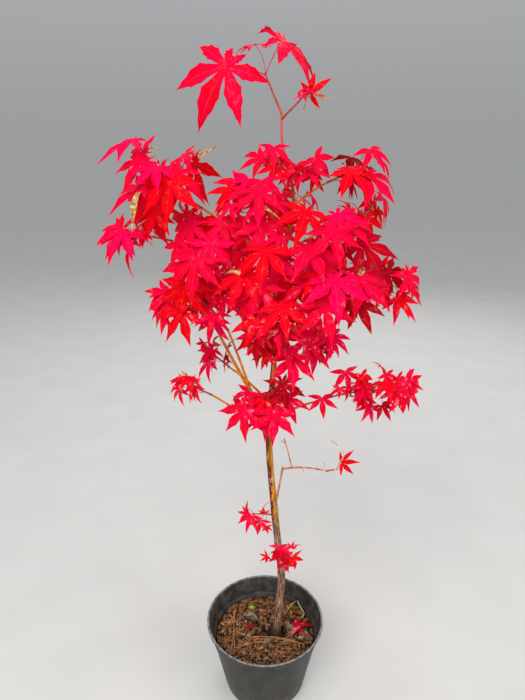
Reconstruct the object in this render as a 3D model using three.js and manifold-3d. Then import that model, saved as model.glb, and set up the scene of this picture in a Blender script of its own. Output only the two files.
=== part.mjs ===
// A young Japanese maple in a round nursery pot: pot, soil, trunk, tapering boughs and masses of foliage.
// Millimetres, +Z up. The origin is the middle of the pot's flat underside. Light comes from the -Y side.
import * as THREE from "three";
import { mergeVertices } from "three/addons/utils/BufferGeometryUtils.js";
import Module from "manifold-3d";

const wasm = await Module();
wasm.setup();
const { Manifold, Mesh } = wasm;

// ---- Driving dimensions -------------------------------------------------------------------------

const GAP = 0.35; // between solids that touch on the real plant
const SAME = 1e-3; // places nearer than this are one place
const SMOOTHING = 0.04; // joining leaves slivers, which are taken out down to this size
const CLEARANCE = 1.2; // least distance from a blade to anything but its own stalk

const POT = {
  height: 150,
  rimRadius: 114,
  lipWidth: 3.4,
  lipHeight: 4,
  lipRound: 0.8,
  collarRadius: 111.5, // outside of the band under the lip
  collarHeight: 36,
  step: 1.6, // how far the wall steps in under the band
  baseRadius: 79,
  baseBevel: 3,
  wall: 1.8,
  floor: 2.4,
  sides: 28,
};

const SOIL = {
  level: 110,
  inset: 0.7, // from the pot's wall
  mound: 3, // height of the surface's waves
  waves: [23, 29],
  hollowDepth: 11, // of the hollow round the trunk's foot
  hollowRadius: 24,
  rings: 4,
};

const TRUNK = {
  // where the stem's middle line passes, from the soil to the fork
  line: [
    [22, 0, 97],
    [28, 0, 196],
    [31, -1, 252],
    [17, -2, 397],
    [6, -3, 551],
    [14, -5, 690],
    [13, -6, 800],
    [41, -8, 938],
    [24, -10, 1024],
    [22, -11, 1064],
  ],
  footRadius: 7.8,
  waist: { height: 560, radius: 5.6 },
  tipRadius: 1.5,
  flare: 6, // extra radius of the root flare at the soil
  flareHeight: 14,
  ribs: 5, // buttresses round the flare
  ribDepth: 1.5,
  stub: 4, // length under the flat cut, before it is cut
  sides: 10,
  rings: 27,
  footRings: 1.15, // over 1, the rings lie closer together near the foot
};

const LIMB = { sides: 5, steps: 3, collar: 0.45, collarLength: 0.3 };
const TWIG = { sides: 3, baseRadius: 2, tipRadius: 1.4, sideRadius: [1.45, 1.15], turn: 0.8, sway: 0.16 };

// The blade's outline, as shares of the middle lobe's length, with angles from the middle lobe.
const BLADE = {
  lobes: [
    { angle: 0, length: 1 },
    { angle: 47, length: 0.92 },
    { angle: 95, length: 0.7 },
    { angle: 144, length: 0.38 },
  ],
  shoulderAt: 0.46,
  shoulderAngle: 18,
  shoulderedLobes: 2,
  notch: 0.22,
  lastNotch: 0.16,
  heel: 0.07,
  crest: 0.1, // how far ahead of its base the blade is thickest
  thickness: 0.026,
  plainUnder: 48, // blades smaller than this have five straight-sided lobes
  sag: 0.14, // how far a lobe's tip hangs under the middle
  rooting: 0.02, // how far the stalk runs on inside the blade
  bentOver: 66, // blades longer than this have a bent stalk
  stalk: 0.55,
  stalkRadius: [0.7, 0.6],
};

// A bough leaves the trunk at a height, or another bough at a share of its length.
// heading is round +Z from +X and rise is above the horizon, in degrees. bow lifts the middle of the limb.
const BOUGHS = [
  {
    name: "bough_upper_left", height: 836,
    heading: 183, rise: 41, length: 150, bow: 6, radius: [2.8, 1.6],
  },
  {
    name: "bough_left", height: 800,
    heading: 175, rise: 28, length: 178, bow: 8, radius: [2.8, 1.5],
  },
  {
    name: "bough_crown_left", height: 780,
    heading: 212, rise: 44, length: 105, bow: 6, radius: [2.7, 1.6],
  },
  {
    name: "bough_crown_top", height: 896,
    heading: 230, rise: 36, length: 46, bow: 2, radius: [2.1, 1.4],
  },
  {
    name: "bough_top_right", height: 848,
    heading: 314, rise: 34, length: 62, bow: 2, radius: [2.2, 1.4],
  },
  {
    name: "bough_crown_front", height: 822,
    heading: 284, rise: 32, length: 58, bow: 2, radius: [2.2, 1.4],
  },
  {
    name: "bough_upper_right", height: 938,
    heading: 352, rise: 35, length: 58, bow: 2, radius: [2, 1.3],
  },
  {
    name: "bough_right_small", height: 862,
    heading: 14, rise: 27, length: 108, bow: 5, radius: [2.2, 1.4],
  },
  {
    name: "bough_right", height: 750,
    heading: 352, rise: 26, length: 128, bow: 8, radius: [2.9, 1.7],
  },
  {
    name: "bough_mid_right", height: 700,
    heading: 309, rise: 52, length: 118, bow: 8, radius: [2.8, 1.7],
  },
  {
    name: "bough_front", height: 684,
    heading: 267, rise: 52, length: 122, bow: 9, radius: [2.8, 1.7],
  },
  {
    name: "bough_long_left", height: 577,
    heading: 186, rise: 63.5, length: 212, bow: -5, radius: [3.6, 1.8],
  },
  {
    name: "bough_inner_left", on: "bough_long_left", at: 0.33,
    heading: 232, rise: 66, length: 132, bow: 3, radius: [2.3, 1.6],
  },
  {
    name: "bough_low_left", height: 556,
    heading: 184, rise: 38, length: 122, bow: 3, radius: [2.6, 1.5],
  },
  {
    name: "bough_low_right", height: 582,
    heading: 350, rise: 27, length: 92, bow: 3, radius: [2.8, 1.6],
  },
  {
    name: "bough_low_centre", height: 652,
    heading: 272, rise: 55, length: 72, bow: 4, radius: [2.4, 1.5],
  },
  {
    name: "bough_inner_right", height: 600,
    heading: 318, rise: 62, length: 114, bow: -5, radius: [2.8, 1.6],
  },
  {
    name: "bough_back_left", height: 765,
    heading: 130, rise: 36, length: 108, bow: 6, radius: [2.6, 1.6],
  },
  {
    name: "bough_back_right", height: 732,
    heading: 50, rise: 38, length: 112, bow: 6, radius: [2.6, 1.6],
  },
  {
    name: "bough_back", height: 668,
    heading: 90, rise: 44, length: 112, bow: 8, radius: [2.8, 1.6],
  },
  {
    name: "bough_back_upper", height: 880,
    heading: 78, rise: 30, length: 70, bow: 3, radius: [2.2, 1.4],
  },
  {
    name: "bough_back_low", height: 612,
    heading: 147, rise: 30, length: 98, bow: 4, radius: [2.5, 1.5],
  },
  {
    name: "bough_low_twig", height: 399,
    heading: 343, rise: 81, length: 94, bow: -3, radius: [2, 1.7],
  },
  {
    name: "bough_low_arm", on: "bough_low_twig", at: 0.95,
    heading: 357, rise: -1, length: 76, bow: 5, radius: [1.6, 1.2],
  },
  {
    name: "bough_low_shoot", on: "bough_low_arm", at: 0.22,
    heading: 178, rise: 76, length: 60, bow: 3, radius: [1.3, 0.9],
  },
];

// A mass grows from one stem, at its bough's tip, at a height on the trunk or at the trunk's tip.
// Its stem bears pairs of buds: the lowest grow into side twigs and the rest into leaves.
const MASSES = [
  {
    name: "foliage_top", on: "trunk", heading: 160, rise: 24, length: 56,
    pairs: 1, branches: 0, leaf: 97, droop: 42, seed: 823,
  },
  {
    name: "foliage_top_side", height: 1058, heading: 350, rise: 42, length: 34,
    pairs: 1, branches: 0, leaf: 30, droop: 15, seed: 47,
  },
  {
    name: "foliage_leader_left", height: 985, heading: 195, rise: 35, length: 30,
    pairs: 2, branches: 0, leaf: 34, droop: 45, seed: 3,
  },
  {
    name: "foliage_leader_right", height: 966, heading: 335, rise: 42, length: 34,
    pairs: 2, branches: 0, leaf: 38, droop: 45, seed: 66,
  },
  {
    name: "foliage_crown_front", on: "bough_crown_front", heading: 278, rise: 30, length: 48,
    pairs: 2, branches: 1, twig: 34, leaf: 60, droop: 55, seed: 18,
  },
  {
    name: "foliage_upper_right", on: "bough_upper_right", heading: 354, rise: 14, length: 56,
    pairs: 3, branches: 0, leaf: 56, droop: 42, seed: 24,
  },
  {
    name: "foliage_left", on: "bough_left", heading: 192, rise: 0, length: 56,
    pairs: 2, branches: 0, leaf: 56, droop: 35, seed: 380,
  },
  {
    name: "foliage_upper_left", on: "bough_upper_left", heading: 184, rise: 32, length: 82,
    pairs: 3, branches: 1, twig: 42, leaf: 79, droop: 48, seed: 122,
  },
  {
    name: "foliage_crown_left", on: "bough_crown_left", heading: 200, rise: 30, length: 64,
    pairs: 3, branches: 1, twig: 40, leaf: 60, droop: 56, seed: 7,
  },
  {
    name: "foliage_crown_top", on: "bough_crown_top", heading: 215, rise: 38, length: 52,
    pairs: 2, branches: 1, twig: 32, leaf: 48, droop: 52, seed: 83,
  },
  {
    name: "foliage_top_right", on: "bough_top_right", heading: 330, rise: 26, length: 52,
    pairs: 2, branches: 1, twig: 36, leaf: 62, droop: 52, seed: 24,
  },
  {
    name: "foliage_right_small", on: "bough_right_small", heading: 8, rise: 22, length: 44,
    pairs: 2, branches: 0, leaf: 46, droop: 50, seed: 64,
  },
  {
    name: "foliage_right", on: "bough_right", heading: 356, rise: 18, length: 74,
    pairs: 3, branches: 1, twig: 40, leaf: 57, droop: 50, seed: 43,
  },
  {
    name: "foliage_mid_right", on: "bough_mid_right", heading: 318, rise: 28, length: 66,
    pairs: 3, branches: 1, twig: 40, leaf: 62, droop: 58, seed: 24,
  },
  {
    name: "foliage_front", on: "bough_front", heading: 262, rise: 34, length: 60,
    pairs: 3, branches: 1, twig: 38, leaf: 61, droop: 60, seed: 33,
  },
  {
    name: "foliage_inner_left", on: "bough_inner_left", heading: 218, rise: 40, length: 66,
    pairs: 3, branches: 1, twig: 40, leaf: 62, droop: 58, seed: 70,
  },
  {
    name: "foliage_long_left", on: "bough_long_left", heading: 196, rise: 16, length: 60,
    pairs: 2, branches: 1, twig: 34, leaf: 50, droop: 54, seed: 73,
  },
  {
    name: "foliage_low_centre", on: "bough_low_centre", heading: 280, rise: 40, length: 52,
    pairs: 2, branches: 1, twig: 32, leaf: 54, droop: 60, seed: 48,
  },
  {
    name: "foliage_inner_right", on: "bough_inner_right", heading: 330, rise: 34, length: 48,
    pairs: 3, branches: 0, leaf: 52, droop: 52, seed: 21,
  },
  {
    name: "foliage_low_left", on: "bough_low_left", heading: 188, rise: 12, length: 40,
    pairs: 2, branches: 0, leaf: 36, droop: 48, seed: 80,
  },
  {
    name: "foliage_low_right", on: "bough_low_right", heading: 354, rise: 12, length: 132,
    pairs: 3, branches: 2, twig: 36, leaf: 41, droop: 50, seed: 45,
  },
  {
    name: "foliage_low_front_left", height: 594, heading: 212, rise: 34, length: 46,
    pairs: 3, branches: 0, leaf: 50, droop: 58, seed: 44,
  },
  {
    name: "foliage_low_front_right", height: 624, heading: 288, rise: 28, length: 40,
    pairs: 2, branches: 0, leaf: 48, droop: 60, seed: 77,
  },
  {
    name: "foliage_back_left", on: "bough_back_left", heading: 140, rise: 30, length: 66,
    pairs: 3, branches: 1, twig: 40, leaf: 58, droop: 54, seed: 65,
  },
  {
    name: "foliage_back_right", on: "bough_back_right", heading: 45, rise: 30, length: 66,
    pairs: 3, branches: 1, twig: 40, leaf: 58, droop: 54, seed: 45,
  },
  {
    name: "foliage_back", on: "bough_back", heading: 88, rise: 36, length: 64,
    pairs: 3, branches: 1, twig: 40, leaf: 60, droop: 56, seed: 45,
  },
  {
    name: "foliage_back_upper", on: "bough_back_upper", heading: 84, rise: 22, length: 50,
    pairs: 3, branches: 0, leaf: 56, droop: 48, seed: 75,
  },
  {
    name: "foliage_back_low", on: "bough_back_low", heading: 150, rise: 20, length: 46,
    pairs: 3, branches: 0, leaf: 42, droop: 52, seed: 59,
  },
  {
    name: "foliage_low_twig", on: "bough_low_arm", heading: 10, rise: 36, length: 18,
    pairs: 1, branches: 0, bare: true, leaf: 41, droop: -40, seed: 617,
  },
  {
    name: "foliage_sprout_left", height: 388, heading: 188, rise: 8, length: 38,
    pairs: 2, branches: 0, leaf: 30, droop: 50, seed: 15,
  },
  {
    name: "foliage_sprout_right", height: 317, heading: 285, rise: 22, length: 38,
    pairs: 2, branches: 0, leaf: 29, droop: 45, seed: 7,
  },
];

// Headings, lifts and strays are blended as plain sums of directions, each with its own share.
const GROWTH = {
  roll: 40, // the first pair of buds is turned by up to this many degrees, either way
  fan: 28, // and each pair after it by this many, first one way and then the other
  upright: 0.95, // a shoot that rises more steeply than this takes its level direction from +X
  leafSize: [0.82, 1.08], // a leaf's size, as a share of its mass's own
  tipLeaf: 0.8, // the last leaf of the stem
  tipLift: 0.35,
  side: { forward: 0.8, lift: 0.15, length: [0.75, 1.15], roll: 30, tipLeaf: 0.92, innerLeaf: 0.8 },
  stalk: { forward: 0.7, lift: 0.2, length: [0.8, 1.15], bow: 0.08 },
  blade: { outward: 0.7, sunward: 0.25, stray: 0.6, droop: [-24, 22] },
  face: { up: 0.45, outward: 0.3, sunward: [0.45, 1.05], stray: 0.8 },
  stray: 0.25,
  wider: 0.12, // how much further a leaf strays at each new try
  tries: 6, // after these the leaf is left out
  crownAxis: [14, -4], // the crown's upright middle line
  light: [0, -0.94, 0.34],
  space: { stem: 0.6, leaf: 2 }, // a mass's own space, round a place on its stem
};

// ---- Vectors and dice ---------------------------------------------------------------------------

const UP = [0, 0, 1];

function plus(a, b, share = 1) {
  return a.map((value, axis) => value + b[axis] * share);
}

function times(a, share) {
  return a.map((value) => value * share);
}

function dot(a, b) {
  return a[0] * b[0] + a[1] * b[1] + a[2] * b[2];
}

function cross(a, b) {
  return [a[1] * b[2] - a[2] * b[1], a[2] * b[0] - a[0] * b[2], a[0] * b[1] - a[1] * b[0]];
}

function unit(a) {
  return times(a, 1 / Math.sqrt(dot(a, a)));
}

function radians(degrees) {
  return (degrees * Math.PI) / 180;
}

function aim(heading, rise) {
  const flat = Math.cos(radians(rise));
  return [flat * Math.cos(radians(heading)), flat * Math.sin(radians(heading)), Math.sin(radians(rise))];
}

// Repeatable dice: every twig and leaf has its own, so that leaving one out changes no other.
const SIDE_DICE = 500;
const LEAF_DICE = 1000;
const DICE = {
  perSeed: 2654435,
  perIndex: 40503,
  first: 977,
  factor: 1664525,
  step: 1013904223,
  span: 2 ** 32,
};

function dice(seed, index) {
  let state = (seed * DICE.perSeed + index * DICE.perIndex + DICE.first) % DICE.span;
  const share = () => {
    state = (state * DICE.factor + DICE.step) % DICE.span;
    return state / DICE.span;
  };
  share();
  share();
  return (low, high) => low + (high - low) * share();
}

// ---- Solids -------------------------------------------------------------------------------------

function solidOf(geometry) {
  const bare = geometry.clone();
  bare.deleteAttribute("normal");
  bare.deleteAttribute("uv");
  const merged = mergeVertices(bare, SAME);
  return new Manifold(
    new Mesh({
      numProp: 3,
      vertProperties: new Float32Array(merged.attributes.position.array),
      triVerts: new Uint32Array(merged.index.array),
    })
  );
}

function geometryOf(solid) {
  const mesh = solid.getMesh();
  const geometry = new THREE.BufferGeometry();
  geometry.setAttribute("position", new THREE.BufferAttribute(new Float32Array(mesh.vertProperties), 3));
  geometry.setIndex(new THREE.BufferAttribute(new Uint32Array(mesh.triVerts), 1));
  return geometry;
}

// The largest of the pieces that a cut left.
function mainPiece(solid) {
  const pieces = solid.decompose();
  return pieces.reduce((best, piece) => (piece.volume() > best.volume() ? piece : best));
}

function reshape(geometry, place) {
  const positions = geometry.attributes.position;
  for (let index = 0; index < positions.count; index++) {
    const point = [positions.getX(index), positions.getY(index), positions.getZ(index)];
    positions.setXYZ(index, ...place(point));
  }
  return geometry;
}

// A prism of unit length is carried onto the line, ring by ring, at the radius that each ring asks for.
function limbSolid(sides, line, radiusAt) {
  const section = new THREE.Shape();
  for (let side = 0; side < sides; side++) {
    const turn = (side / sides) * Math.PI * 2;
    const corner = [Math.cos(turn), Math.sin(turn)];
    side ? section.lineTo(...corner) : section.moveTo(...corner);
  }
  const steps = line.length - 1;
  const prism = new THREE.ExtrudeGeometry(section, { depth: 1, steps, bevelEnabled: false });
  const frames = framesAlong(line);
  reshape(prism, ([x, y, z]) => {
    const ring = Math.round(z * steps);
    const { across, over } = frames[ring];
    const radius = radiusAt(ring / steps, Math.atan2(y, x));
    return plus(plus(line[ring], across, x * radius), over, y * radius);
  });
  return solidOf(prism);
}

function framesAlong(line) {
  const last = line.length - 1;
  let across = null;
  return line.map((point, ring) => {
    const before = ring > 0 ? unit(plus(point, line[ring - 1], -1)) : null;
    const after = ring < last ? unit(plus(line[ring + 1], point, -1)) : null;
    const along = unit(plus(before ?? after, after ?? before));
    const guide = across ?? (Math.abs(along[2]) > 0.9 ? [1, 0, 0] : cross(UP, along));
    across = unit(plus(guide, along, -dot(guide, along)));
    return { across, over: cross(along, across) };
  });
}

// ---- Trunk and boughs ---------------------------------------------------------------------------

const trunkCurve = new THREE.CatmullRomCurve3(
  TRUNK.line.map((point) => new THREE.Vector3(...point)),
  false,
  "catmullrom",
  0.5
);

function trunkPoint(share) {
  return trunkCurve.getPoint(share).toArray();
}

function trunkShareAt(height) {
  let low = 0;
  let high = 1;
  for (let step = 0; step < 40; step++) {
    const middle = (low + high) / 2;
    trunkPoint(middle)[2] < height ? (low = middle) : (high = middle);
  }
  return low;
}

function trunkRadius(height) {
  const foot = TRUNK.line[0][2];
  const tip = TRUNK.line[TRUNK.line.length - 1][2];
  const { waist } = TRUNK;
  if (height < waist.height) {
    const share = (height - foot) / (waist.height - foot);
    return TRUNK.footRadius + (waist.radius - TRUNK.footRadius) * share;
  }
  const share = (height - waist.height) / (tip - waist.height);
  return waist.radius + (TRUNK.tipRadius - waist.radius) * share;
}

// The trunk, or with extra the room that it needs, cut flat at the height given.
function trunkSolid(extra, flatAt) {
  const foot = TRUNK.line[0][2];
  const line = [plus(TRUNK.line[0], UP, -TRUNK.stub)];
  for (let ring = 0; ring <= TRUNK.rings; ring++) {
    line.push(trunkPoint((ring / TRUNK.rings) ** TRUNK.footRings));
  }
  const solid = limbSolid(TRUNK.sides, line, (share, turn) => {
    const height = line[Math.round(share * (line.length - 1))][2];
    const flare = Math.min(1, Math.exp(-(height - foot) / TRUNK.flareHeight));
    const rib = Math.cos(turn * TRUNK.ribs) * TRUNK.ribDepth;
    return trunkRadius(height) + (TRUNK.flare + rib) * flare + extra;
  });
  return solid.trimByPlane(UP, flatAt);
}

function boughLine(bough, carriers) {
  let start;
  if (bough.on) {
    start = pointAlong(carriers.get(bough.on), bough.at);
  } else {
    start = trunkPoint(trunkShareAt(bough.height));
  }
  const reach = times(aim(bough.heading, bough.rise), bough.length);
  const end = plus(start, reach);
  const middle = plus(plus(start, reach, 0.5), UP, bough.bow * 2);
  const corners = [start, middle, end].map((point) => new THREE.Vector3(...point));
  const curve = new THREE.QuadraticBezierCurve3(...corners);
  return curve.getPoints(LIMB.steps).map((point) => point.toArray());
}

function pointAlong(line, share) {
  const place = share * (line.length - 1);
  const before = Math.min(Math.floor(place), line.length - 2);
  return plus(line[before], plus(line[before + 1], line[before], -1), place - before);
}

function boughSolid(line, [base, tip], extra) {
  return limbSolid(LIMB.sides, line, (share) => {
    const collar = 1 + LIMB.collar * Math.max(0, 1 - share / LIMB.collarLength);
    return (base + (tip - base) * share) * collar + extra;
  });
}

// ---- The growth rule ----------------------------------------------------------------------------

// A shoot starts the way that its carrier points and turns toward its own aim, a little at each pair of buds.
function shootLine(start, from, target, length, pairs, throwDice) {
  const line = [start];
  let along = from;
  for (let pair = 0; pair < pairs; pair++) {
    const sway = [0, 1, 2].map(() => throwDice(-TWIG.sway, TWIG.sway));
    along = unit(plus(plus(along, target, TWIG.turn), sway));
    line.push(plus(line[pair], along, length / pairs));
  }
  return line;
}

// The two ways that a pair of buds points, across the shoot.
function pairWays(along, pair, roll) {
  const level = Math.abs(along[2]) > GROWTH.upright ? [1, 0, 0] : unit(cross(along, UP));
  const over = cross(level, along);
  const turn = radians(roll + (pair % 2 ? GROWTH.fan : -GROWTH.fan));
  const way = plus(times(level, Math.cos(turn)), over, Math.sin(turn));
  return [way, times(way, -1)];
}

// Every twig and leaf bud of a mass, before any is left out.
function growMass(mass, { start, from }) {
  const stemDice = dice(mass.seed, 0);
  const roll = stemDice(-GROWTH.roll, GROWTH.roll);
  const line = shootLine(start, from, aim(mass.heading, mass.rise), mass.length, mass.pairs, stemDice);
  const twigs = [{ line, radius: [TWIG.baseRadius, TWIG.tipRadius] }];
  const buds = [];
  const addBud = (at, way, along, size, twig) => {
    buds.push({ index: buds.length + 1, at, way, along, size, twig });
  };
  for (let pair = 1; pair <= mass.pairs; pair++) {
    const along = endWay(line.slice(0, pair + 1));
    for (const way of pairWays(along, pair, roll)) {
      const size = mass.leaf * stemDice(...GROWTH.leafSize);
      if (pair <= mass.branches) {
        growSide(mass, line[pair], way, along, size, twigs, addBud, buds.length + 1);
      } else {
        addBud(line[pair], way, along, size, 0);
      }
    }
  }
  addBud(line[mass.pairs], times(UP, GROWTH.tipLift), endWay(line), mass.leaf * GROWTH.tipLeaf, 0);
  return { twigs, buds: mass.bare ? buds.slice(-1) : buds };
}

// A side twig of two lengths, with a pair of leaves at its tip and one leaf halfway.
function growSide(mass, at, way, along, size, twigs, addBud, index) {
  const { forward, lift, length, roll, tipLeaf, innerLeaf } = GROWTH.side;
  const sideDice = dice(mass.seed, SIDE_DICE + index);
  const side = unit(plus(plus(way, along, forward), UP, lift));
  const line = shootLine(at, side, side, mass.twig * sideDice(...length), 2, sideDice);
  const end = endWay(line);
  twigs.push({ line, radius: TWIG.sideRadius });
  for (const tipWay of pairWays(end, index, sideDice(-roll, roll))) {
    addBud(line[2], tipWay, end, size * tipLeaf, twigs.length - 1);
  }
  addBud(line[1], pairWays(side, 1, 0)[index % 2], side, size * innerLeaf, twigs.length - 1);
}

function endWay(line) {
  return unit(plus(line[line.length - 1], line[line.length - 2], -1));
}

// One way to hang a leaf from its bud: the stalk's three points, and the blade's own directions.
function leafPose(mass, bud, attempt) {
  const { stalk, blade, face, light, crownAxis } = GROWTH;
  const throwDice = dice(mass.seed, LEAF_DICE + bud.index * GROWTH.tries + attempt);
  const loose = GROWTH.stray + attempt * GROWTH.wider;
  const stray = [0, 1, 2].map(() => throwDice(-loose, loose));
  const out = unit(plus(plus(plus(bud.way, bud.along, stalk.forward), UP, stalk.lift), stray));
  const reach = bud.size * BLADE.stalk * throwDice(...stalk.length);
  const bend = plus(plus(bud.at, out, reach / 2), UP, reach * stalk.bow);
  const base = plus(bud.at, out, reach);
  const away = unit([base[0] - crownAxis[0], base[1] - crownAxis[1], 0]);
  const flat = plus(plus(plus(out, away, blade.outward), light, blade.sunward), stray, blade.stray);
  const level = unit([flat[0], flat[1], 0]);
  const droop = radians(mass.droop + throwDice(...blade.droop));
  const midrib = plus(times(level, Math.cos(droop)), UP, -Math.sin(droop));
  const lit = throwDice(...face.sunward);
  const facing = plus(plus(plus(times(UP, face.up), away, face.outward), light, lit), stray, face.stray);
  const normal = unit(plus(facing, midrib, -dot(facing, midrib)));
  const across = cross(normal, midrib);
  return { stalk: [bud.at, bend, base], midrib, face: normal, across, size: bud.size };
}

// ---- Leaves and masses --------------------------------------------------------------------------

// The outline's points as [angle from the middle lobe, distance from the blade's base], all the way round.
function bladeOutline(shoulders) {
  const half = [];
  const lobes = shoulders ? BLADE.lobes : BLADE.lobes.slice(0, -1);
  lobes.forEach(({ angle, length }, lobe) => {
    if (lobe > 0) {
      const between = (angle + BLADE.lobes[lobe - 1].angle) / 2;
      half.push([between, lobe < BLADE.lobes.length - 1 ? BLADE.notch : BLADE.lastNotch]);
    }
    const hasShoulders = shoulders && lobe < BLADE.shoulderedLobes;
    if (hasShoulders && lobe > 0) {
      half.push([angle - BLADE.shoulderAngle, length * BLADE.shoulderAt]);
    }
    half.push([angle, length]);
    if (hasShoulders) {
      half.push([angle + BLADE.shoulderAngle, length * BLADE.shoulderAt]);
    }
  });
  const mirrored = half.slice(1).reverse();
  return [
    ...half.map(([angle, distance]) => [radians(angle), distance]),
    [Math.PI, BLADE.heel],
    ...mirrored.map(([angle, distance]) => [radians(360 - angle), distance]),
  ];
}

const FULL_OUTLINE = bladeOutline(true);
const PLAIN_OUTLINE = bladeOutline(false);

// A flat double cone whose rim is the leaf's outline, so that the blade is thickest at its base.
function bladeSolid(pose) {
  const { size, midrib, across, face } = pose;
  const centre = pose.stalk[2];
  const crest = plus(centre, midrib, size * BLADE.crest);
  const outline = size < BLADE.plainUnder ? PLAIN_OUTLINE : FULL_OUTLINE;
  const count = outline.length;
  const disc = new THREE.SphereGeometry(1, count, 2);
  reshape(disc, ([x, y, z]) => {
    if (Math.abs(y) > 0.5) {
      return plus(crest, face, Math.sign(y) * size * BLADE.thickness * 0.5);
    }
    const corner = Math.round((Math.atan2(z, -x) / (Math.PI * 2)) * count + count) % count;
    const [angle, distance] = outline[corner];
    const reach = distance * size;
    const rim = plus(plus(centre, midrib, Math.cos(angle) * reach), across, Math.sin(angle) * reach);
    return plus(rim, face, -BLADE.sag * distance * reach);
  });
  return solidOf(disc);
}

function stalkSolid(pose) {
  const [from, bend, base] = pose.stalk;
  const inside = plus(base, pose.midrib, pose.size * BLADE.rooting);
  const [thick, thin] = BLADE.stalkRadius;
  const line = pose.size > BLADE.bentOver ? [from, bend, inside] : [from, inside];
  return limbSolid(TWIG.sides, line, (share) => thick + (thin - thick) * share);
}

function near(a, b, reach) {
  const one = a.boundingBox();
  const other = b.boundingBox();
  return [0, 1, 2].every((axis) => {
    return one.min[axis] - reach < other.max[axis] && other.min[axis] - reach < one.max[axis];
  });
}

function clearOf(solid, others, gap) {
  return others.every((other) => !near(solid, other, gap) || solid.minGap(other, gap * 2) >= gap);
}

function stemSolid({ twigs }) {
  return limbSolid(TWIG.sides, twigs[0].line, taper(twigs[0].radius));
}

function massSolid(mass, { twigs, buds }, stem, obstacles) {
  const { space } = GROWTH;
  const centre = pointAlong(twigs[0].line, space.stem);
  const reach = mass.length * space.stem + mass.leaf * space.leaf + (mass.twig ?? 0);
  const wood = [stem];
  const kept = new Set([0]);
  twigs.slice(1).forEach(({ line, radius }, order) => {
    const twig = limbSolid(TWIG.sides, line, taper(radius));
    if (clearOf(twig, obstacles, CLEARANCE)) {
      wood.push(twig);
      kept.add(order + 1);
    }
  });
  const blades = [];
  const stalks = [];
  for (const bud of buds) {
    if (!kept.has(bud.twig)) {
      continue;
    }
    for (let attempt = 0; attempt < GROWTH.tries; attempt++) {
      const pose = leafPose(mass, bud, attempt);
      const blade = bladeSolid(pose);
      const stalk = stalkSolid(pose);
      const tip = plus(plus(pose.stalk[2], pose.midrib, pose.size), centre, -1);
      const within = dot(tip, tip) < reach * reach;
      const free = within && clearOf(blade, [...wood, ...blades, ...stalks, ...obstacles], CLEARANCE);
      if (free && clearOf(stalk, [...blades, ...obstacles], CLEARANCE)) {
        blades.push(blade);
        stalks.push(stalk);
        break;
      }
    }
  }
  return Manifold.union([...wood, ...blades, ...stalks]).asOriginal().simplify(SMOOTHING);
}

function taper([base, tip]) {
  return (share) => base + (tip - base) * share;
}

// ---- Pot and soil -------------------------------------------------------------------------------

function wallRadius(height) {
  return POT.baseRadius + ((POT.collarRadius - POT.baseRadius) * height) / POT.height;
}

function potSolid() {
  const { height, wall, floor, step, collarHeight, lipWidth, lipHeight, lipRound, baseBevel } = POT;
  const bandFoot = height - collarHeight;
  const outside = [
    [0, 0],
    [POT.baseRadius - baseBevel, 0],
    [POT.baseRadius, baseBevel],
    [wallRadius(bandFoot) - step, bandFoot],
    [wallRadius(bandFoot), bandFoot + step],
    [wallRadius(height - lipHeight), height - lipHeight],
    [POT.rimRadius, height - lipHeight + lipRound],
    [POT.rimRadius, height - lipRound],
    [POT.rimRadius - lipRound, height],
  ];
  const inside = [
    [POT.rimRadius - lipWidth, height],
    [wallRadius(bandFoot) - wall, bandFoot + step],
    [wallRadius(bandFoot) - step - wall, bandFoot],
    [POT.baseRadius - wall, floor],
    [0, floor],
  ];
  const profile = [...outside, ...inside].map(([radius, up]) => new THREE.Vector2(radius, up));
  return solidOf(upright(new THREE.LatheGeometry(profile, POT.sides)));
}

// A lathe turns round Y: this stands its work up on +Z.
function upright(geometry) {
  return geometry.rotateX(Math.PI / 2);
}

function soilLevel(x, y) {
  const [footX, footY] = TRUNK.line[0];
  const fromFoot = Math.hypot(x - footX, y - footY) / SOIL.hollowRadius;
  const hollow = SOIL.hollowDepth * Math.exp(-(fromFoot ** 2));
  const mound = SOIL.mound * Math.cos(x / SOIL.waves[0]) * Math.cos(y / SOIL.waves[1]);
  return SOIL.level + mound - hollow;
}

function soilSolid() {
  const { wall, floor, baseRadius } = POT;
  const top = SOIL.level;
  const profile = [
    [0, floor + GAP],
    [baseRadius - wall - SOIL.inset, floor + GAP],
  ];
  const wallInside = wallRadius(top) - POT.step - wall - SOIL.inset;
  for (let ring = SOIL.rings; ring >= 0; ring--) {
    profile.push([(wallInside * ring) / SOIL.rings, top]);
  }
  const points = profile.map(([radius, up]) => new THREE.Vector2(radius, up));
  const plug = upright(new THREE.LatheGeometry(points, POT.sides / 2));
  reshape(plug, ([x, y, z]) => {
    const settles = z > top - SAME && Math.hypot(x, y) < wallInside - SAME;
    return [x, y, settles ? soilLevel(x, y) : z];
  });
  return solidOf(plug);
}

// ---- The plant in its pot -----------------------------------------------------------------------

const COLOURS = {
  pot: { color: 0x44423d, roughness: 0.75, metalness: 0 },
  soil: { color: 0x4a3526, roughness: 0.95, metalness: 0 },
  bark: { color: 0x86572f, roughness: 0.7, metalness: 0 },
  leaf: { color: 0xe8102c, roughness: 0.6, metalness: 0 },
};

function addMesh(group, name, solid, kind) {
  const mesh = new THREE.Mesh(geometryOf(solid), new THREE.MeshStandardMaterial(COLOURS[kind]));
  mesh.name = name;
  group.add(mesh);
}

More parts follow.
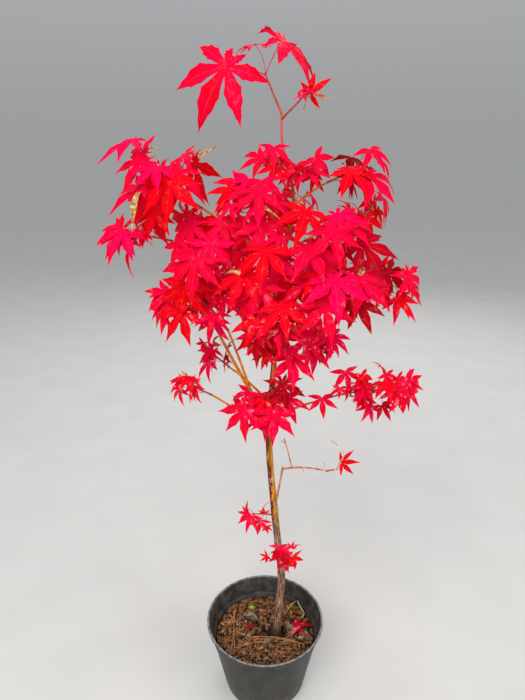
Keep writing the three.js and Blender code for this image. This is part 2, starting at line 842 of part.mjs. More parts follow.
function buildTree() {
  const group = new THREE.Group();
  addMesh(group, "pot", potSolid(), "pot");
  const foot = TRUNK.line[0][2];
  const trunk = trunkSolid(0, foot + GAP);
  const trunkRoom = trunkSolid(GAP, foot);
  const soil = soilSolid().subtract(trunkRoom);
  addMesh(group, "soil", soil, "soil");
  addMesh(group, "trunk", trunk, "bark");

  const lines = new Map();
  const solids = [trunk, soil];
  for (const bough of BOUGHS) {
    const line = boughLine(bough, lines);
    lines.set(bough.name, line);
    const carrier = bough.on ? BOUGHS.find(({ name }) => name === bough.on) : null;
    const room = carrier ? boughSolid(lines.get(carrier.name), carrier.radius, GAP) : trunkRoom;
    const solid = mainPiece(boughSolid(line, bough.radius, 0).subtract(room));
    solids.push(solid);
    addMesh(group, bough.name, solid, "bark");
  }
  // every stem is set out first, so that no leaf takes the place of a stem that comes after it
  const growths = MASSES.map((mass) => growMass(mass, massRoot(mass, lines)));
  const places = growths.map((growth) => stemSolid(growth).subtract(trunkRoom));
  MASSES.forEach((mass, order) => {
    const obstacles = [...solids, ...places.filter((_, other) => other !== order)];
    const solid = massSolid(mass, growths[order], places[order], obstacles);
    places[order] = solid;
    addMesh(group, mass.name, solid, "leaf");
  });
  return group;
}

// Where a mass's stem starts and which way: on from a tip, or out of the trunk, where it is cut clear.
function massRoot(mass, lines) {
  if (mass.height) {
    return { start: trunkPoint(trunkShareAt(mass.height)), from: aim(mass.heading, mass.rise) };
  }
  let line = lines.get(mass.on);
  if (mass.on === "trunk") {
    line = [trunkPoint(1 - 1 / TRUNK.rings), trunkPoint(1)];
  }
  const tip = line[line.length - 1];
  const from = endWay(line);
  const bend = cross(from, aim(mass.heading, mass.rise));
  const lean = (TWIG.baseRadius * TWIG.turn * Math.sqrt(dot(bend, bend))) / 2;
  return { start: plus(tip, from, GAP + lean), from };
}

const tree = buildTree();

export default tree;
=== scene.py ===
"""A young Japanese maple in autumn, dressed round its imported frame: pot, soil, bark, twigs and leaves."""

import math

import bmesh
import bpy
from bpy.props import FloatProperty, FloatVectorProperty, IntProperty, PointerProperty
from mathutils import Euler, Matrix, Vector, noise
from mathutils.bvhtree import BVHTree
from mathutils.kdtree import KDTree


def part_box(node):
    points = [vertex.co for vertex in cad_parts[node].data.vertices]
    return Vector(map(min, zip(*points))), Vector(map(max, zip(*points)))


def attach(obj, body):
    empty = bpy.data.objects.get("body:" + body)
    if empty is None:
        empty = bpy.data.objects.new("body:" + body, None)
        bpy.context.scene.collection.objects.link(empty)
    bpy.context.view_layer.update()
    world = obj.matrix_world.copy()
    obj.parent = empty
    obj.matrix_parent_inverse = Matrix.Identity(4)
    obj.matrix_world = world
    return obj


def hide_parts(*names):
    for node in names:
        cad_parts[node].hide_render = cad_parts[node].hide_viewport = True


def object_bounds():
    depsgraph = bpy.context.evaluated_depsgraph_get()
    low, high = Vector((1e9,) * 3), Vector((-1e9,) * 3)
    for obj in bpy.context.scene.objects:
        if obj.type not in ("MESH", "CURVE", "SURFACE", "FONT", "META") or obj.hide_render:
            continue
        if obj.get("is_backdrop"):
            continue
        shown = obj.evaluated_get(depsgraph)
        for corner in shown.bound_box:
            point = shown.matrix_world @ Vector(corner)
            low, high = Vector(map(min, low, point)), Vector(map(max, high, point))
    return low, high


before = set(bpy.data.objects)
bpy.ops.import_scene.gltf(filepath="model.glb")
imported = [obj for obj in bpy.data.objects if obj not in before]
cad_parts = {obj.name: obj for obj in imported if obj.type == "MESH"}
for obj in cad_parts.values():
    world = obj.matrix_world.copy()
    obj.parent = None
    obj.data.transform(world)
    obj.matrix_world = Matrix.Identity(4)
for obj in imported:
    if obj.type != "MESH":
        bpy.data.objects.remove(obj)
cad_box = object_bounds()

bl_info = {
    "name": "Potted Japanese Maple",
    "version": (1, 0, 0),
    "blender": (4, 5, 0),
    "location": "View3D > Sidebar > Maple",
    "description": "Grows a young Japanese maple in its nursery pot round the packed frame",
    "category": "Add Mesh",
}

MM = 0.001
BODY = "root"
UP = Vector((0, 0, 1))

# ---- The source's sizes and rule, in millimetres and degrees ---------------------------------------

TRUNK_LINE = [
    (22, 0, 97),
    (28, 0, 196),
    (31, -1, 252),
    (17, -2, 397),
    (6, -3, 551),
    (14, -5, 690),
    (13, -6, 800),
    (41, -8, 938),
    (24, -10, 1024),
    (22, -11, 1064),
]
TRUNK = dict(foot_radius=7.8, waist_height=560, waist_radius=5.6, tip_radius=1.5, rings=27)
HALVINGS = 40
FLARE = dict(radius=6, height=14, ribs=5, rib_depth=1.5)
SOIL = dict(level=110, mound=3, waves=(23, 29), hollow_depth=11, hollow_radius=24)

# A bough leaves the trunk at a height, or another bough at a share of its length.
BOUGHS = {
    "bough_upper_left": dict(height=836, heading=183, rise=41, length=150, bow=6, radius=(2.8, 1.6)),
    "bough_left": dict(height=800, heading=175, rise=28, length=178, bow=8, radius=(2.8, 1.5)),
    "bough_crown_left": dict(height=780, heading=212, rise=44, length=105, bow=6, radius=(2.7, 1.6)),
    "bough_crown_top": dict(height=896, heading=230, rise=36, length=46, bow=2, radius=(2.1, 1.4)),
    "bough_top_right": dict(height=848, heading=314, rise=34, length=62, bow=2, radius=(2.2, 1.4)),
    "bough_crown_front": dict(height=822, heading=284, rise=32, length=58, bow=2, radius=(2.2, 1.4)),
    "bough_upper_right": dict(height=938, heading=352, rise=35, length=58, bow=2, radius=(2, 1.3)),
    "bough_right_small": dict(height=862, heading=14, rise=27, length=108, bow=5, radius=(2.2, 1.4)),
    "bough_right": dict(height=750, heading=352, rise=26, length=128, bow=8, radius=(2.9, 1.7)),
    "bough_mid_right": dict(height=700, heading=309, rise=52, length=118, bow=8, radius=(2.8, 1.7)),
    "bough_front": dict(height=684, heading=267, rise=52, length=122, bow=9, radius=(2.8, 1.7)),
    "bough_long_left": dict(height=577, heading=186, rise=63.5, length=212, bow=-5, radius=(3.6, 1.8)),
    "bough_inner_left": dict(
        on="bough_long_left", at=0.33, heading=232, rise=66, length=132, bow=3, radius=(2.3, 1.6)
    ),
    "bough_low_left": dict(height=556, heading=184, rise=38, length=122, bow=3, radius=(2.6, 1.5)),
    "bough_low_right": dict(height=582, heading=350, rise=27, length=92, bow=3, radius=(2.8, 1.6)),
    "bough_low_centre": dict(height=652, heading=272, rise=55, length=72, bow=4, radius=(2.4, 1.5)),
    "bough_inner_right": dict(height=600, heading=318, rise=62, length=114, bow=-5, radius=(2.8, 1.6)),
    "bough_back_left": dict(height=765, heading=130, rise=36, length=108, bow=6, radius=(2.6, 1.6)),
    "bough_back_right": dict(height=732, heading=50, rise=38, length=112, bow=6, radius=(2.6, 1.6)),
    "bough_back": dict(height=668, heading=90, rise=44, length=112, bow=8, radius=(2.8, 1.6)),
    "bough_back_upper": dict(height=880, heading=78, rise=30, length=70, bow=3, radius=(2.2, 1.4)),
    "bough_back_low": dict(height=612, heading=147, rise=30, length=98, bow=4, radius=(2.5, 1.5)),
    "bough_low_twig": dict(height=399, heading=343, rise=81, length=94, bow=-3, radius=(2, 1.7)),
    "bough_low_arm": dict(
        on="bough_low_twig", at=0.95, heading=357, rise=-1, length=76, bow=5, radius=(1.6, 1.2)
    ),
    "bough_low_shoot": dict(
        on="bough_low_arm", at=0.22, heading=178, rise=76, length=60, bow=3, radius=(1.3, 0.9)
    ),
}

# A mass grows from one stem, at its bough's tip, at a height on the trunk or at the trunk's tip.
# Its first pairs of buds, as many as branches says, grow side twigs.
MASSES = {
    "foliage_top": dict(on="trunk", heading=160, rise=24, length=56, pairs=1, leaf=97, droop=42, seed=823),
    "foliage_top_side": dict(
        height=1058, heading=350, rise=42, length=34, pairs=1, leaf=30, droop=15, seed=47
    ),
    "foliage_leader_left": dict(
        height=985, heading=195, rise=35, length=30, pairs=2, leaf=34, droop=45, seed=3
    ),
    "foliage_leader_right": dict(
        height=966, heading=335, rise=42, length=34, pairs=2, leaf=38, droop=45, seed=66
    ),
    "foliage_crown_front": dict(
        on="bough_crown_front", heading=278, rise=30, length=48, pairs=2, branches=1, twig=34,
        leaf=60, droop=55, seed=18
    ),
    "foliage_upper_right": dict(
        on="bough_upper_right", heading=354, rise=14, length=56, pairs=3, leaf=56, droop=42, seed=24
    ),
    "foliage_left": dict(
        on="bough_left", heading=192, rise=0, length=56, pairs=2, leaf=56, droop=35, seed=380
    ),
    "foliage_upper_left": dict(
        on="bough_upper_left", heading=184, rise=32, length=82, pairs=3, branches=1, twig=42,
        leaf=79, droop=48, seed=122
    ),
    "foliage_crown_left": dict(
        on="bough_crown_left", heading=200, rise=30, length=64, pairs=3, branches=1, twig=40,
        leaf=60, droop=56, seed=7
    ),
    "foliage_crown_top": dict(
        on="bough_crown_top", heading=215, rise=38, length=52, pairs=2, branches=1, twig=32,
        leaf=48, droop=52, seed=83
    ),
    "foliage_top_right": dict(
        on="bough_top_right", heading=330, rise=26, length=52, pairs=2, branches=1, twig=36,
        leaf=62, droop=52, seed=24
    ),
    "foliage_right_small": dict(
        on="bough_right_small", heading=8, rise=22, length=44, pairs=2, leaf=46, droop=50, seed=64
    ),
    "foliage_right": dict(
        on="bough_right", heading=356, rise=18, length=74, pairs=3, branches=1, twig=40, leaf=57,
        droop=50, seed=43
    ),
    "foliage_mid_right": dict(
        on="bough_mid_right", heading=318, rise=28, length=66, pairs=3, branches=1, twig=40,
        leaf=62, droop=58, seed=24
    ),
    "foliage_front": dict(
        on="bough_front", heading=262, rise=34, length=60, pairs=3, branches=1, twig=38, leaf=61,
        droop=60, seed=33
    ),
    "foliage_inner_left": dict(
        on="bough_inner_left", heading=218, rise=40, length=66, pairs=3, branches=1, twig=40,
        leaf=62, droop=58, seed=70
    ),
    "foliage_long_left": dict(
        on="bough_long_left", heading=196, rise=16, length=60, pairs=2, branches=1, twig=34,
        leaf=50, droop=54, seed=73
    ),
    "foliage_low_centre": dict(
        on="bough_low_centre", heading=280, rise=40, length=52, pairs=2, branches=1, twig=32,
        leaf=54, droop=60, seed=48
    ),
    "foliage_inner_right": dict(
        on="bough_inner_right", heading=330, rise=34, length=48, pairs=3, leaf=52, droop=52, seed=21
    ),
    "foliage_low_left": dict(
        on="bough_low_left", heading=188, rise=12, length=40, pairs=2, leaf=36, droop=48, seed=80
    ),
    "foliage_low_right": dict(
        on="bough_low_right", heading=354, rise=12, length=132, pairs=3, branches=2, twig=36,
        leaf=41, droop=50, seed=45
    ),
    "foliage_low_front_left": dict(
        height=594, heading=212, rise=34, length=46, pairs=3, leaf=50, droop=58, seed=44
    ),
    "foliage_low_front_right": dict(
        height=624, heading=288, rise=28, length=40, pairs=2, leaf=48, droop=60, seed=77
    ),
    "foliage_back_left": dict(
        on="bough_back_left", heading=140, rise=30, length=66, pairs=3, branches=1, twig=40,
        leaf=58, droop=54, seed=65
    ),
    "foliage_back_right": dict(
        on="bough_back_right", heading=45, rise=30, length=66, pairs=3, branches=1, twig=40,
        leaf=58, droop=54, seed=45
    ),
    "foliage_back": dict(
        on="bough_back", heading=88, rise=36, length=64, pairs=3, branches=1, twig=40, leaf=60,
        droop=56, seed=45
    ),
    "foliage_back_upper": dict(
        on="bough_back_upper", heading=84, rise=22, length=50, pairs=3, leaf=56, droop=48, seed=75
    ),
    "foliage_back_low": dict(
        on="bough_back_low", heading=150, rise=20, length=46, pairs=3, leaf=42, droop=52, seed=59
    ),
    "foliage_low_twig": dict(
        on="bough_low_arm", heading=10, rise=36, length=18, pairs=1, bare=True, leaf=41, droop=-40, seed=617
    ),
    "foliage_sprout_left": dict(
        height=388, heading=188, rise=8, length=38, pairs=2, leaf=30, droop=50, seed=15
    ),
    "foliage_sprout_right": dict(
        height=317, heading=285, rise=22, length=38, pairs=2, leaf=29, droop=45, seed=7
    ),
}

# A leaf's shape, as shares of its size, which is the length of its middle lobe.
# Leaves under plain_under have fewer lobes.
BLADE = dict(sag=0.14, plain_under=48, stalk=0.55, rooting=0.02)
LOBES = [(0, 1.0), (47, 0.92), (95, 0.7), (144, 0.38)]  # angle from the middle lobe, and length
NOTCHES = [0.14, 0.13, 0.1]  # how deep the cut after each lobe comes, as a distance from the base
HEEL = 0.05  # the same, behind the last lobe

# How twigs grow and how leaves hang. Words such as forward, lift and sunward are shares of a direction.
TWIG = dict(turn=0.8, sway=0.16, base_radius=2)
ROLL = 40  # how far the first pair of buds may be turned round the stem
FAN = 28  # how far each pair is turned to either side of that
UPRIGHT = 0.95  # past this a shoot counts as upright
LEAF_SIZE = (0.82, 1.08)
TIP_LEAF = 0.8
TIP_LIFT = 0.35
SIDE = dict(forward=0.8, lift=0.15, length=(0.75, 1.15), roll=30, tip_leaf=0.92, inner_leaf=0.8)
STALK = dict(forward=0.7, lift=0.2, length=(0.8, 1.15), bow=0.08)
HANG = dict(outward=0.7, sunward=0.25, stray=0.6, droop=(-24, 22))
FACE = dict(up=0.45, outward=0.3, sunward=(0.45, 1.05), stray=0.8)
STRAY = 0.25
WIDER = 0.12  # how much more each further try strays
TRIES = 6  # ways that a bud tries to hang its leaf
GAP = 0.35  # between a stem and the bough that carries it
CROWN_AXIS = Vector((14, -4, 0))
LIGHT = Vector((0, -0.94, 0.34))

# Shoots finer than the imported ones.
FINER = dict(seed=3, first_bud=100, parts=6, place=(0.3, 0.75), forward=0.9, lift=0.3, length=(9, 22))
FINER.update(roll=60, leaf=(0.5, 0.78), tries=14)
# Each kind of growth throws its own dice.
SIDE_DICE = 500
LEAF_DICE = 1000
DRESS_DICE = 5000
FINER_DICE = 9000
DICE = dict(per_seed=2654435, per_index=40503, first=977, factor=1664525, step=1013904223, span=2**32)


def dice(seed, index):
    """Repeatable dice: every twig and leaf has its own."""
    state = (seed * DICE["per_seed"] + index * DICE["per_index"] + DICE["first"]) % DICE["span"]

    def throw(low, high):
        nonlocal state
        state = (state * DICE["factor"] + DICE["step"]) % DICE["span"]
        return low + (high - low) * state / DICE["span"]

    throw(0, 1)
    throw(0, 1)
    return throw


def aim(heading, rise):
    flat = math.cos(math.radians(rise))
    turn = math.radians(heading)
    return Vector((flat * math.cos(turn), flat * math.sin(turn), math.sin(math.radians(rise))))


def spline(points, place):
    """The point at a place along a Catmull-Rom curve, where the whole numbers are its points."""
    last = len(points) - 1
    first = min(int(place), last - 1)
    share = place - first
    one = Vector(points[first])
    two = Vector(points[first + 1])
    before = Vector(points[first - 1]) if first > 0 else one * 2 - two
    after = Vector(points[first + 2]) if first + 2 <= last else two * 2 - one
    leave = (two - before) / 2
    arrive = (after - one) / 2
    square = share * share
    cube = square * share
    return (
        one * (2 * cube - 3 * square + 1)
        + two * (3 * square - 2 * cube)
        + leave * (cube - 2 * square + share)
        + arrive * (cube - square)
    )


def trunk_point(share):
    return spline(TRUNK_LINE, share * (len(TRUNK_LINE) - 1))


def trunk_share_at(height):
    """Where the trunk's line reaches a height, found by halving."""
    low, high = 0.0, 1.0
    for _ in range(HALVINGS):
        middle = (low + high) / 2
        if trunk_point(middle).z < height:
            low = middle
        else:
            high = middle
    return low


def trunk_radius(height):
    foot = TRUNK_LINE[0][2]
    tip = TRUNK_LINE[-1][2]
    waist = TRUNK["waist_height"]
    if height < waist:
        share = (height - foot) / (waist - foot)
        return TRUNK["foot_radius"] + (TRUNK["waist_radius"] - TRUNK["foot_radius"]) * share
    share = (height - waist) / (tip - waist)
    return TRUNK["waist_radius"] + (TRUNK["tip_radius"] - TRUNK["waist_radius"]) * share


def end_way(line):
    return (line[-1] - line[-2]).normalized()


def point_along(line, share):
    place = share * (len(line) - 1)
    before = min(int(place), len(line) - 2)
    return line[before].lerp(line[before + 1], place - before)


def bough_line(bough, lines, steps=3):
    """A bough's middle line: a bowed curve from its carrier's own middle line."""
    if "on" in bough:
        start = point_along(lines[bough["on"]], bough["at"])
    else:
        start = trunk_point(trunk_share_at(bough["height"]))
    end = start + aim(bough["heading"], bough["rise"]) * bough["length"]
    middle = (start + end) / 2 + UP * bough["bow"] * 2
    return [arc_point((start, middle, end), step / steps) for step in range(steps + 1)]


def arc_point(corners, share):
    start, middle, end = corners
    return start.lerp(middle, share).lerp(middle.lerp(end, share), share)


def shoot_line(start, way, target, length, pairs, throw):
    """A shoot starts the way that its carrier points and turns toward its own aim at each pair of buds."""
    line = [start]
    along = way
    for pair in range(pairs):
        sway = Vector([throw(-TWIG["sway"], TWIG["sway"]) for _ in range(3)])
        along = (along + target * TWIG["turn"] + sway).normalized()
        line.append(line[pair] + along * (length / pairs))
    return line


def pair_ways(along, pair, roll):
    level = Vector((1, 0, 0)) if abs(along.z) > UPRIGHT else along.cross(UP).normalized()
    over = level.cross(along)
    turn = math.radians(roll + (FAN if pair % 2 else -FAN))
    way = level * math.cos(turn) + over * math.sin(turn)
    return way, -way


def mass_root(mass, lines):
    """Where a mass's stem starts, and which way."""
    target = aim(mass["heading"], mass["rise"])
    if "height" in mass:
        return trunk_point(trunk_share_at(mass["height"])), target
    if mass["on"] == "trunk":
        line = [trunk_point(1 - 1 / TRUNK["rings"]), trunk_point(1)]
    else:
        line = lines[mass["on"]]
    way = end_way(line)
    lean = TWIG["base_radius"] * TWIG["turn"] * way.cross(target).length / 2
    return line[-1] + way * (GAP + lean), way


class Bud:
    """The place on a twig that one leaf hangs from."""

    def __init__(self, index, at, way, along, size, twig):
        self.index = index
        self.at = at
        self.way = way
        self.along = along
        self.size = size
        self.twig = twig


def grow_mass(mass, start, way):
    """Every twig line and leaf bud of a mass, before any is left out."""
    stem_dice = dice(mass["seed"], 0)
    roll = stem_dice(-ROLL, ROLL)
    target = aim(mass["heading"], mass["rise"])
    line = shoot_line(start, way, target, mass["length"], mass["pairs"], stem_dice)
    twigs = [line]
    buds = []

    def add_bud(at, way, along, size, twig):
        buds.append(Bud(len(buds) + 1, at, way, along, size, twig))

    for pair in range(1, mass["pairs"] + 1):
        along = end_way(line[: pair + 1])
        for way in pair_ways(along, pair, roll):
            size = mass["leaf"] * stem_dice(*LEAF_SIZE)
            if pair <= mass.get("branches", 0):
                grow_side(mass, line[pair], way, along, size, twigs, add_bud, len(buds) + 1)
            else:
                add_bud(line[pair], way, along, size, 0)
    add_bud(line[-1], UP * TIP_LIFT, end_way(line), mass["leaf"] * TIP_LEAF, 0)
    return twigs, buds[-1:] if mass.get("bare") else buds


def grow_side(mass, at, way, along, size, twigs, add_bud, index):
    """A side twig of two lengths, with a pair of leaves at its tip and one leaf halfway."""
    side_dice = dice(mass["seed"], SIDE_DICE + index)
    side = (way + along * SIDE["forward"] + UP * SIDE["lift"]).normalized()
    length = mass["twig"] * side_dice(*SIDE["length"])
    line = shoot_line(at, side, side, length, 2, side_dice)
    end = end_way(line)
    twigs.append(line)
    for tip_way in pair_ways(end, index, side_dice(-SIDE["roll"], SIDE["roll"])):
        add_bud(line[2], tip_way, end, size * SIDE["tip_leaf"], len(twigs) - 1)
    add_bud(line[1], pair_ways(side, 1, 0)[index % 2], side, size * SIDE["inner_leaf"], len(twigs) - 1)


def grow_finer(mass, twigs):
    """Finer shoots between the pairs of buds, each with a bud for one small leaf at its tip."""
    shoots = []
    for order, line in enumerate(twigs):
        for part, (start, end) in enumerate(zip(line, line[1:])):
            index = FINER["first_bud"] + order * FINER["parts"] + part
            throw = dice(mass["seed"] + FINER["seed"], FINER_DICE + index)
            along = (end - start).normalized()
            way = pair_ways(along, 0, throw(-180, 180))[0]
            side = (way + along * FINER["forward"] + UP * FINER["lift"]).normalized()
            at = start.lerp(end, throw(*FINER["place"]))
            shoot = shoot_line(at, side, side, throw(*FINER["length"]), 2, throw)
            tip_way = pair_ways(end_way(shoot), index, throw(-FINER["roll"], FINER["roll"]))[0]
            size = mass["leaf"] * throw(*FINER["leaf"])
            shoots.append((shoot, Bud(index, shoot[-1], tip_way, end_way(shoot), size, order)))
    return shoots


class Pose:
    """How one leaf hangs: its stalk's three points and the blade's own directions."""

    def __init__(self, stalk, midrib, face, size):
        self.stalk = stalk
        self.midrib = midrib
        self.face = face
        self.size = size

    def tip(self):
        """The source's tip of the middle lobe."""
        return self.stalk[2] + (self.midrib - self.face * BLADE["sag"]) * self.size

    def matrix(self):
        """From the blade's own frame, with the middle lobe along Y and the face along Z."""
        side = self.midrib.cross(self.face)
        turn = Matrix((side, self.midrib, self.face)).transposed().to_4x4()
        return Matrix.Translation(self.stalk[2]) @ turn @ Matrix.Scale(self.size, 4)


def leaf_pose(mass, bud, attempt):
    """One way to hang a leaf from its bud."""
    throw = dice(mass["seed"], LEAF_DICE + bud.index * TRIES + attempt)
    loose = STRAY + attempt * WIDER
    stray = Vector([throw(-loose, loose) for _ in range(3)])
    out = (bud.way + bud.along * STALK["forward"] + UP * STALK["lift"] + stray).normalized()
    reach = bud.size * BLADE["stalk"] * throw(*STALK["length"])
    bend = bud.at + out * (reach / 2) + UP * (reach * STALK["bow"])
    base = bud.at + out * reach
    away = base - CROWN_AXIS
    away.z = 0
    away.normalize()
    flat = out + away * HANG["outward"] + LIGHT * HANG["sunward"] + stray * HANG["stray"]
    level = Vector((flat.x, flat.y, 0)).normalized()
    droop = math.radians(mass["droop"] + throw(*HANG["droop"]))
    midrib = level * math.cos(droop) - UP * math.sin(droop)
    lit = throw(*FACE["sunward"])
    toward = UP * FACE["up"] + away * FACE["outward"] + LIGHT * lit + stray * FACE["stray"]
    face = (toward - midrib * toward.dot(midrib)).normalized()
    return Pose((bud.at, bend, base), midrib, face, bud.size)


# ---- Making pieces ----------------------------------------------------------------------------------

BLACK = (0.0, 0.0, 0.0)
WHITE = (1.0, 1.0, 1.0)


def finish_piece(bm, name, material, replaced=(), sharp=35):
    """The mesh, in millimetres until now, becomes a piece of the object that rides on its body."""
    bmesh.ops.recalc_face_normals(bm, faces=bm.faces)
    return finish_turned(bm, name, material, replaced, sharp)


def finish_turned(bm, name, material, replaced=(), sharp=35):
    """The same, for a mesh whose faces are known to point outwards."""
    bm.transform(Matrix.Scale(MM, 4))
    for face in bm.faces:
        face.smooth = True
    mesh = bpy.data.meshes.new(name)
    bm.to_mesh(mesh)
    bm.free()
    mesh.set_sharp_from_angle(angle=math.radians(sharp))
    mesh.materials.append(material)
    piece = bpy.data.objects.new(name, mesh)
    bpy.context.scene.collection.objects.link(piece)
    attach(piece, BODY)
    if replaced:
        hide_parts(*replaced)
    return piece


def join_into(target, part):
    """Moves a finished small mesh into a larger one."""
    mesh = bpy.data.meshes.new("part")
    part.to_mesh(mesh)
    part.free()
    target.from_mesh(mesh)
    bpy.data.meshes.remove(mesh)


STEEP = 0.9  # past this a line counts as upright


def frames_along(line):
    """For each point of a line, two directions across it that turn as little as they can."""
    last = len(line) - 1
    across = None
    frames = []
    for ring in range(last + 1):
        along = (line[min(ring + 1, last)] - line[max(ring - 1, 0)]).normalized()
        if across is None:
            across = Vector((1, 0, 0)) if abs(along.z) > STEEP else UP.cross(along)
        across = (across - along * across.dot(along)).normalized()
        frames.append((across, along.cross(across)))
    return frames


def sweep(target, line, radius_at, sides):
    """A closed limb: a round cap is extruded from ring to ring along the line."""
    bm = bmesh.new()
    frames = frames_along(line)
    bmesh.ops.create_circle(bm, cap_ends=True, segments=sides, radius=1)
    bm.verts.ensure_lookup_table()
    turns = [math.atan2(vert.co.y, vert.co.x) for vert in bm.verts]
    ring = list(bm.verts)
    cap = bm.faces[:][0]
    for step, (across, over) in enumerate(frames):
        if step:
            grown = bmesh.ops.extrude_face_region(bm, geom=[cap])["geom"]
            ring = [element for element in grown if isinstance(element, bmesh.types.BMVert)]
            cap = next(element for element in grown if isinstance(element, bmesh.types.BMFace))
            last_across, last_over = frames[step - 1]
            arms = [vert.co - line[step - 1] for vert in ring]
            turns = [math.atan2(arm.dot(last_over), arm.dot(last_across)) for arm in arms]
        for vert, turn in zip(ring, turns):
            radius = radius_at(step / (len(line) - 1), turn)
            vert.co = line[step] + (across * math.cos(turn) + over * math.sin(turn)) * radius
    bmesh.ops.recalc_face_normals(bm, faces=bm.faces)
    join_into(target, bm)


def smooth_line(points, spacing):
    """A curve through the points, with a point about every so many millimetres."""
    length = sum((b - a).length for a, b in zip(points, points[1:]))
    steps = max(2, round(length / spacing))
    last = len(points) - 1
    return [spline(points, last * step / steps) for step in range(steps + 1)]


def rough(place, scale, seed=0):
    """Smooth noise from about -1 to 1, over patches of that many millimetres."""
    return noise.noise(place / scale + Vector((seed * 17.3, seed * 5.1, seed * 9.7)))


# ---- Node groups and materials ----------------------------------------------------------------------


def tint(red, green, blue):
    """A screen colour, 0 to 255, as the linear colour that a shader takes."""
    levels = [level / 255 for level in (red, green, blue)]
    return tuple(level / 12.92 if level <= 0.04045 else ((level + 0.055) / 1.055) ** 2.4 for level in levels)


def add_node(tree, kind, sockets=None, **settings):
    made = tree.nodes.new(kind)
    for name, value in settings.items():
        setattr(made, name, value)
    for socket, value in (sockets or {}).items():
        if isinstance(value, bpy.types.NodeSocket):
            tree.links.new(value, made.inputs[socket])
        elif isinstance(value, tuple) and len(value) == 3 and made.inputs[socket].type == "RGBA":
            made.inputs[socket].default_value = (*value, 1)
        else:
            made.inputs[socket].default_value = value
    return made


def noise_patches(tree, place, scale, detail):
    sockets = {"Vector": place, "Scale": scale, "Detail": detail}
    return add_node(tree, "ShaderNodeTexNoise", sockets).outputs[0]


def one_axis(tree, vector, axis):
    return add_node(tree, "ShaderNodeSeparateXYZ", {0: vector}).outputs[axis]


def facing(tree, axis):
    """How far the surface faces along an axis, from -1 to 1."""
    return one_axis(tree, add_node(tree, "ShaderNodeNewGeometry").outputs["Normal"], axis)


def new_group(name, inputs, outputs):
    """A shader group with its named sockets, and the nodes that stand for them."""
    tree = bpy.data.node_groups.new(name, "ShaderNodeTree")
    kinds = {"vector": "NodeSocketVector", "colour": "NodeSocketColor", "value": "NodeSocketFloat"}
    for socket, kind in inputs.items():
        tree.interface.new_socket(name=socket, in_out="INPUT", socket_type=kinds[kind])
    for socket, kind in outputs.items():
        tree.interface.new_socket(name=socket, in_out="OUTPUT", socket_type=kinds[kind])
    return tree, tree.nodes.new("NodeGroupInput").outputs, tree.nodes.new("NodeGroupOutput").inputs


def mix_colour(tree, mask, first, second, blend="MIX"):
    mixed = add_node(tree, "ShaderNodeMix", data_type="RGBA", blend_type=blend)
    for socket, value in ((0, mask), (6, first), (7, second)):
        if isinstance(value, bpy.types.NodeSocket):
            tree.links.new(value, mixed.inputs[socket])
        else:
            mixed.inputs[socket].default_value = (*value, 1) if isinstance(value, tuple) else value
    return mixed.outputs[2]


def remap(tree, value, low, high, to_low=0.0, to_high=1.0):
    """A value carried from one range to another, and held inside it."""
    sockets = {0: value, 1: low, 2: high, 3: to_low, 4: to_high}
    return add_node(tree, "ShaderNodeMapRange", sockets, interpolation_type="SMOOTHSTEP").outputs[0]


def calculate(tree, operation, *values):
    return add_node(tree, "ShaderNodeMath", dict(enumerate(values)), operation=operation).outputs[0]


def distance(tree, place, point):
    return add_node(tree, "ShaderNodeVectorMath", {0: place, 1: point}, operation="DISTANCE").outputs["Value"]


def mottle_group():
    """Patches of a second colour over a first, with soft edges."""
    inputs = {"Place": "vector", "Scale": "value", "Low": "value", "High": "value"}
    inputs.update(First="colour", Second="colour")
    tree, given, taken = new_group("mottle", inputs, {"Colour": "colour", "Mask": "value"})
    patches = noise_patches(tree, given["Place"], given["Scale"], 5.0)
    mask = remap(tree, patches, given["Low"], given["High"])
    tree.links.new(mask, taken["Mask"])
    tree.links.new(mix_colour(tree, mask, given["First"], given["Second"]), taken["Colour"])
    return tree


def relief_group():
    """A height made of coarse and fine lumps."""
    inputs = {"Place": "vector", "Coarse": "value", "Fine": "value", "Share": "value"}
    tree, given, taken = new_group("relief", inputs, {"Height": "value"})
    coarse = noise_patches(tree, given["Place"], given["Coarse"], 3.0)
    fine = noise_patches(tree, given["Place"], given["Fine"], 4.0)
    finer = calculate(tree, "MULTIPLY", fine, given["Share"])
    tree.links.new(calculate(tree, "ADD", coarse, finer), taken["Height"])
    return tree


def dust_group():
    """Where dust lies: on what faces up, in patches."""
    inputs = {"Place": "vector", "Scale": "value", "Amount": "value"}
    tree, given, taken = new_group("dust", inputs, {"Mask": "value"})
    settled = remap(tree, facing(tree, 2), -0.5, 1.0, 0.25, 1.0)
    spread = remap(tree, noise_patches(tree, given["Place"], given["Scale"], 6.0), 0.35, 0.75)
    mask = calculate(tree, "MULTIPLY", calculate(tree, "MULTIPLY", settled, spread), given["Amount"])
    tree.links.new(mask, taken["Mask"])
    return tree


SHARED_GROUPS = {"mottle": mottle_group, "relief": relief_group, "dust": dust_group}


def shared(tree, name, **sockets):
    """Places a shared group in a material, with this material's own values."""
    group = bpy.data.node_groups.get(name) or SHARED_GROUPS[name]()
    placed = tree.nodes.new("ShaderNodeGroup")
    placed.node_tree = group
    for socket, value in sockets.items():
        taken = placed.inputs[socket]
        if isinstance(value, bpy.types.NodeSocket):
            tree.links.new(value, taken)
        else:
            taken.default_value = (*value, 1) if taken.type == "RGBA" else value
    return placed.outputs


def mottle(tree, place, scale, low, high, first=BLACK, second=WHITE):
    """Two colours in patches. The mask alone takes neither."""
    return shared(tree, "mottle", Place=place, Scale=scale, Low=low, High=high, First=first, Second=second)


def lumps(tree, place, coarse, fine, share):
    return shared(tree, "relief", Place=place, Coarse=coarse, Fine=fine, Share=share)["Height"]


